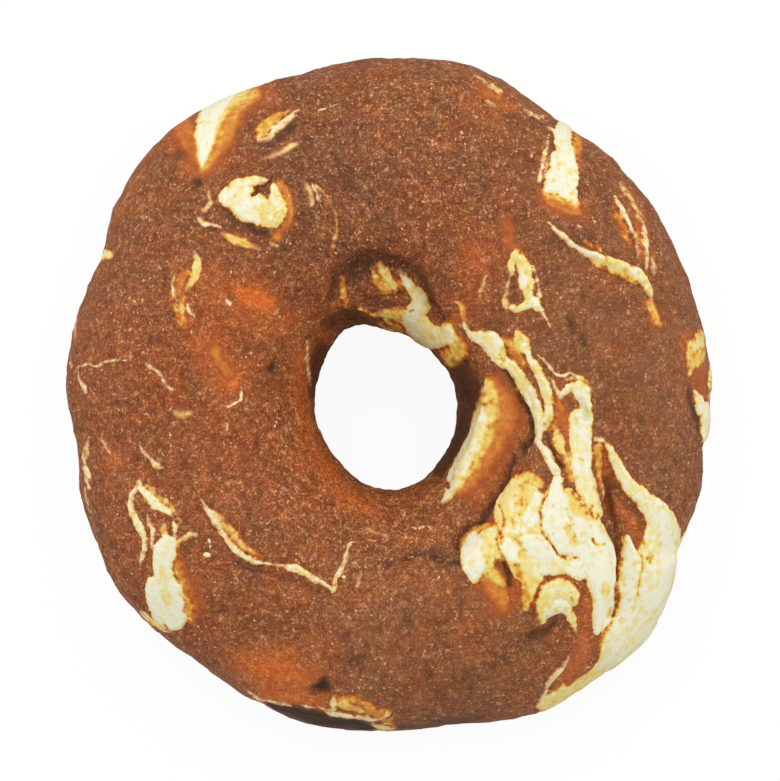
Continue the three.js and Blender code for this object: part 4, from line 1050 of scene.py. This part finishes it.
# The crust's own unevenness: broad dimples, small crags and a fine grain, less of it on smooth cheese, and
# pores where it lay on the tray.
BROAD_DIMPLES = (0.35, 7.0, 11)
SMALL_CRAGS = (0.22, 2.2, 23)
FINE_GRAIN = (0.13, 0.9, 31)
TRAY_PORES = (1.0, 4.5, 41)
crust = 1 - 0.75 * ease(tone, 0, 0.6)
height = relief + cheese_height - sunk
height += rough(points, *BROAD_DIMPLES)
height += rough(points, *SMALL_CRAGS) * crust
height += rough(points, *FINE_GRAIN) * crust
height -= 0.6 * flat * np.maximum(rough(points, *TRAY_PORES) + 0.1, 0)
places = points + normals * height[:, None]
places[:, 2] = np.maximum(places[:, 2], 0)
mesh.vertices.foreach_set("co", (places * MM).ravel())
mesh.update()

fields = {
    "tone": tone, "crisp": crisp, "thin": thin, "glow": glow, "crease_and_pit_shade": crease_and_pit_shade,
    "warmth": warmth, "browning_and_painted_light": browning_and_painted_light, "coarse": coarse,
}
for name, values in fields.items():
    attribute = mesh.attributes.new(name, "FLOAT", "POINT")
    attribute.data.foreach_set("value", values.astype(np.float32))

attribute = mesh.attributes.new("strand", "FLOAT_VECTOR", "POINT")
attribute.data.foreach_set("vector", strand.astype(np.float32).ravel())

bpy.ops.object.shade_smooth()

material = bpy.data.materials.new("browned_dough_and_cheese")
material.use_nodes = True
tree = material.node_tree
tree.nodes.clear()


def colour(red, green, blue):
    """A colour as it shows on screen, 0 to 255, turned into the light that the shader works in."""
    def linear(value):
        value /= 255
        return value / 12.92 if value <= 0.04045 else ((value + 0.055) / 1.055) ** 2.4

    return (linear(red), linear(green), linear(blue), 1)


def put(tree, kind, inputs=None, **settings):
    """A shader node with its settings. An input is a plain value or another node's output."""
    made = tree.nodes.new("ShaderNode" + kind)
    for name, value in settings.items():
        setattr(made, name, value)
    for name, value in (inputs or {}).items():
        if isinstance(value, bpy.types.NodeSocket):
            tree.links.new(value, made.inputs[name])
        else:
            made.inputs[name].default_value = value
    return made


def ramp(factor, stops):
    """A colour ramp with (place, colour) stops."""
    made = put(tree, "ValToRGB", {"Fac": factor})
    while len(made.color_ramp.elements) < len(stops):
        made.color_ramp.elements.new(0.5)
    for element, (position, shown) in zip(made.color_ramp.elements, stops):
        element.position = position
        element.color = colour(*shown)
    return made.outputs["Color"]


def mix(factor, first, second, blend="MIX"):
    """The first colour, turned into the second by a factor, or blended with it."""
    made = put(tree, "Mix", {0: factor, 6: first, 7: second}, data_type="RGBA", blend_type=blend)
    return made.outputs[2]


def reckon(operation, first, second=0.0, third=0.0, clamp=False):
    """Plain arithmetic on values."""
    made = put(tree, "Math", {0: first, 1: second, 2: third}, operation=operation, use_clamp=clamp)
    return made.outputs[0]


def times(first, second, clamp=False):
    return reckon("MULTIPLY", first, second, clamp=clamp)


def times_plus(first, second, more):
    return reckon("MULTIPLY_ADD", first, second, more)


def minus(first, second):
    return reckon("SUBTRACT", first, second)


def vectors(operation, first, second):
    """The same arithmetic on each of a vector's three parts."""
    return put(tree, "VectorMath", {0: first, 1: second}, operation=operation).outputs["Vector"]


def scaled(first, factor):
    """A vector or a colour times one factor."""
    return put(tree, "VectorMath", {0: first, "Scale": factor}, operation="SCALE").outputs["Vector"]


def fade(value, low, high):
    """0 below low, 1 above high, straight between them."""
    made = put(tree, "MapRange", {"Value": value, "From Min": low, "From Max": high}, clamp=True)
    return made.outputs["Result"]


def carried(name, output="Fac"):
    """A value that the mesh carries from point to point."""
    return put(tree, "Attribute", attribute_name=name).outputs[output]


place = vectors("MULTIPLY", put(tree, "TexCoord").outputs["Object"], (1000, 1000, 1000))
tone_out = carried("tone")
crisp_out = carried("crisp")
thin_out = carried("thin")
glow_out = carried("glow")
crease_and_pit_shade_out = carried("crease_and_pit_shade")
warmth_out = carried("warmth")
browning_and_painted_light_out = carried("browning_and_painted_light")
coarse_out = carried("coarse")
strand_out = carried("strand", "Vector")


def speckle(size, detail=3, roughness=0.6):
    """Noise whose grains are about size millimetres."""
    inputs = {"Vector": place, "Scale": 1 / size, "Detail": detail, "Roughness": roughness}
    return put(tree, "TexNoise", inputs).outputs["Fac"]


# The places from which the flecks are drawn wander, so that no fleck is round.
WANDER = 1.1
WANDER_SIZE = 0.7
wobble = put(tree, "TexNoise", {"Vector": place, "Scale": 1 / WANDER_SIZE, "Detail": 2.0}).outputs["Color"]
uneven = vectors("ADD", place, scaled(vectors("SUBTRACT", wobble, (0.5, 0.5, 0.5)), WANDER))


def flecks(size, share, strength):
    """A mask of uneven flecks: cells of size millimetres, of which a share holds one."""
    cells = put(tree, "TexVoronoi", {"Vector": uneven, "Scale": 1 / size})
    pick = put(tree, "SeparateColor", {"Color": cells.outputs["Color"]})
    held = fade(pick.outputs["Green"], 1 - share, 1.2 - share)
    reach = times_plus(pick.outputs["Red"], 0.28, 0.12)
    return times(times(fade(minus(reach, cells.outputs["Distance"]), 0, 0.10), held), strength)


# The dough's finish is a semi-matt brown crust of fine grains, with patches that browned more or less red,
# and pale flecks that gather here and there; the sparse largest flecks are partly painted glints.
middling = speckle(1.0)
plain_grain = times_plus(middling, 0.4, times_plus(speckle(0.33), 0.6, -0.5))
grain = times_plus(plain_grain, coarse_out, 0.5)
grain_shade = ramp(grain, [
    (0.33, (98, 56, 28)), (0.43, (130, 76, 38)), (0.50, (148, 88, 44)), (0.57, (174, 111, 64)),
    (0.66, (222, 168, 120)),
])
warm = mix(fade(warmth_out, -1, 1), colour(246, 250, 255), colour(255, 226, 196))
redder = ramp(speckle(4.6, 4), [
    (0.36, (238, 246, 255)), (0.47, (250, 252, 255)), (0.53, (255, 252, 248)), (0.66, (255, 234, 212)),
])
duller = ramp(speckle(2.3), [
    (0.36, (255, 242, 252)), (0.50, (255, 255, 255)), (0.64, (250, 255, 240)),
])
brown = grain_shade
for stain in (warm, redder, duller):
    brown = mix(1.0, brown, stain, "MULTIPLY")
clump = minus(speckle(3.0, 4), 0.5)
# The clumps and the tints' shade, which is partly painted light and shade, make the crust lighter and
# darker.
brown = scaled(brown, times_plus(clump, 1.1, reckon("ADD", browning_and_painted_light_out, 1.0)))
orange = mix(fade(grain, 0.40, 0.62), colour(204, 86, 20), colour(242, 132, 52))
brown = mix(times(glow_out, 1.0, clamp=True), brown, orange)
gathered = times_plus(fade(speckle(3.8), 0.40, 0.60), 0.7, 0.28)
small = times(flecks(0.6, 0.5, gathered), coarse_out)
small = times(small, times_plus(glow_out, -0.6, 1.0))
brown = mix(small, brown, colour(232, 180, 134))
brown = mix(flecks(0.85, 0.5, 0.36), brown, colour(206, 150, 108))
# Partly pale flakes of the crust and partly painted glints, standing in for its tiny highlights.
brown = mix(flecks(1.1, 0.24, 0.6), brown, colour(214, 160, 120))

# The cheese is cream that turns yellow, amber and orange where it is thin. It is mottled where it is thick,
# frayed along crisp edges, and finely drawn out along each strand.
thick = fade(tone_out, 0.25, 0.8)
curd = minus(speckle(1.1, 2, 0.45), 0.5)
fibre_place = vectors("MULTIPLY", strand_out, (0.28, 1.7, 1.0))
fibre = put(tree, "TexNoise", {"Vector": fibre_place, "Scale": 1.0, "Detail": 3.0}).outputs["Fac"]
worn_tone = times_plus(minus(middling, 0.5), times_plus(crisp_out, 4.5, 0.15), tone_out)
worn_tone = times_plus(minus(speckle(2.2), 0.5), times_plus(thick, 0.5, 0.15), worn_tone)
worn_tone = times_plus(curd, times_plus(thick, 0.3, 0.15), worn_tone)
worn_tone = times_plus(minus(fibre, 0.5), times_plus(thick, 0.38, 0.12), worn_tone)
cheese_shade = ramp(worn_tone, [
    (0.0, (150, 76, 32)), (0.12, (178, 88, 30)), (0.24, (204, 112, 38)), (0.36, (224, 150, 54)),
    (0.48, (240, 200, 90)), (0.62, (245, 220, 126)), (0.80, (247, 230, 158)), (1.0, (248, 244, 216)),
])
thin_shade = ramp(worn_tone, [
    (0.0, (150, 92, 54)), (0.25, (184, 124, 74)), (0.45, (212, 158, 102)), (0.65, (234, 190, 134)),
    (0.85, (248, 216, 166)), (1.0, (252, 232, 192)),
])
cheese_shade = mix(thin_out, cheese_shade, thin_shade)
pitted = mix(1.0, cheese_shade, colour(242, 222, 150), "MULTIPLY")
cheese_shade = mix(flecks(1.4, 0.3, 0.8), cheese_shade, pitted)
cheese_shade = scaled(cheese_shade, times_plus(plain_grain, times_plus(thick, -0.6, 0.8), 1.0))

# Painted shade: both are darkened in the creases, pits and hollows, the dough nearly black.
brown = mix(times(crease_and_pit_shade_out, 0.96, clamp=True), brown, colour(36, 23, 14))
surface = mix(fade(worn_tone, -0.08, 0.14), brown, cheese_shade)
surface = mix(times(crease_and_pit_shade_out, 0.35, clamp=True), surface, colour(70, 38, 16))

bump_height = mix(fade(tone_out, 0.1, 0.6), grain, reckon("ADD", curd, 0.5))
bump_height = put(tree, "RGBToBW", {"Color": bump_height}).outputs[0]
bump = put(tree, "Bump", {"Strength": 0.7, "Distance": 0.0003, "Height": bump_height}).outputs["Normal"]
roughness = times_plus(fade(tone_out, 0, 0.7), -0.15, 0.6)
principled = put(
    tree, "BsdfPrincipled",
    {"Base Color": surface, "Roughness": roughness, "Normal": bump, "Specular IOR Level": 0.3},
)
put(tree, "OutputMaterial", {"Surface": principled.outputs["BSDF"]})
mesh.materials.clear()
mesh.materials.append(material)

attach(ring, "root")
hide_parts("doughnut")


# ---- Floor, light and camera -----------------------------------------------------------------------------
# A plain near-white table, soft studio light from overhead, and a camera that looks straight down.
# The table shows evenly pale to the camera, and otherwise takes and gives light as pale paper does.

bpy.ops.mesh.primitive_plane_add(size=12)
floor = bpy.context.active_object
floor.name = "floor"
pale_floor = bpy.data.materials.new("pale_floor")
pale_floor.use_nodes = True
tree = pale_floor.node_tree
tree.nodes.clear()
seen = put(tree, "LightPath").outputs["Is Camera Ray"]
lit = put(tree, "BsdfDiffuse", {"Color": colour(200, 198, 195)}).outputs[0]
plain = put(tree, "Emission", {"Color": colour(255, 255, 255), "Strength": 0.93}).outputs[0]
dim = put(tree, "BsdfDiffuse", {"Color": colour(80, 80, 80)}).outputs[0]
both = put(tree, "AddShader", {0: plain, 1: dim}).outputs[0]
shown = put(tree, "MixShader", {0: seen, 1: lit, 2: both}).outputs[0]
put(tree, "OutputMaterial", {"Surface": shown})
floor.data.materials.append(pale_floor)

LIGHTS = [
    # name, place, size, power
    ("overhead", (0.0, 0.35, 0.95), 0.9, 5.4),
    ("left", (-1.0, 0.10, 0.30), 0.7, 4.2),
    ("right", (1.0, 0.10, 0.30), 0.7, 4.2),
    ("back", (0.0, 1.0, 0.30), 0.7, 2.6),
    ("front", (0.0, -1.0, 0.35), 0.7, 2.6),
]
for name, position, size, power in LIGHTS:
    lamp = bpy.data.lights.new(name, "AREA")
    lamp.size = size
    lamp.energy = power
    holder = bpy.data.objects.new(name, lamp)
    bpy.context.scene.collection.objects.link(holder)
    holder.location = position
    holder.rotation_euler = Vector(position).to_track_quat("Z", "Y").to_euler()
    holder.visible_camera = False

world = bpy.data.worlds.new("studio")
world.use_nodes = True
sky = world.node_tree.nodes["Background"].inputs
sky["Color"].default_value = colour(235, 238, 242)
sky["Strength"].default_value = 0.30
bpy.context.scene.world = world
bpy.context.scene.view_settings.view_transform = "Standard"

FRAME_WIDTH = 0.117  # what the photograph shows at the ring's waist
FRAME_MIDDLE = (0.000225, 0.000375)
CAMERA_HEIGHT = 3.0
camera = bpy.data.cameras.new("camera")
camera.lens = camera.sensor_width * (CAMERA_HEIGHT - WAIST_HEIGHT * MM) / FRAME_WIDTH
viewer = bpy.data.objects.new("camera", camera)
bpy.context.scene.collection.objects.link(viewer)
viewer.location = (*FRAME_MIDDLE, CAMERA_HEIGHT)
bpy.context.scene.camera = viewer
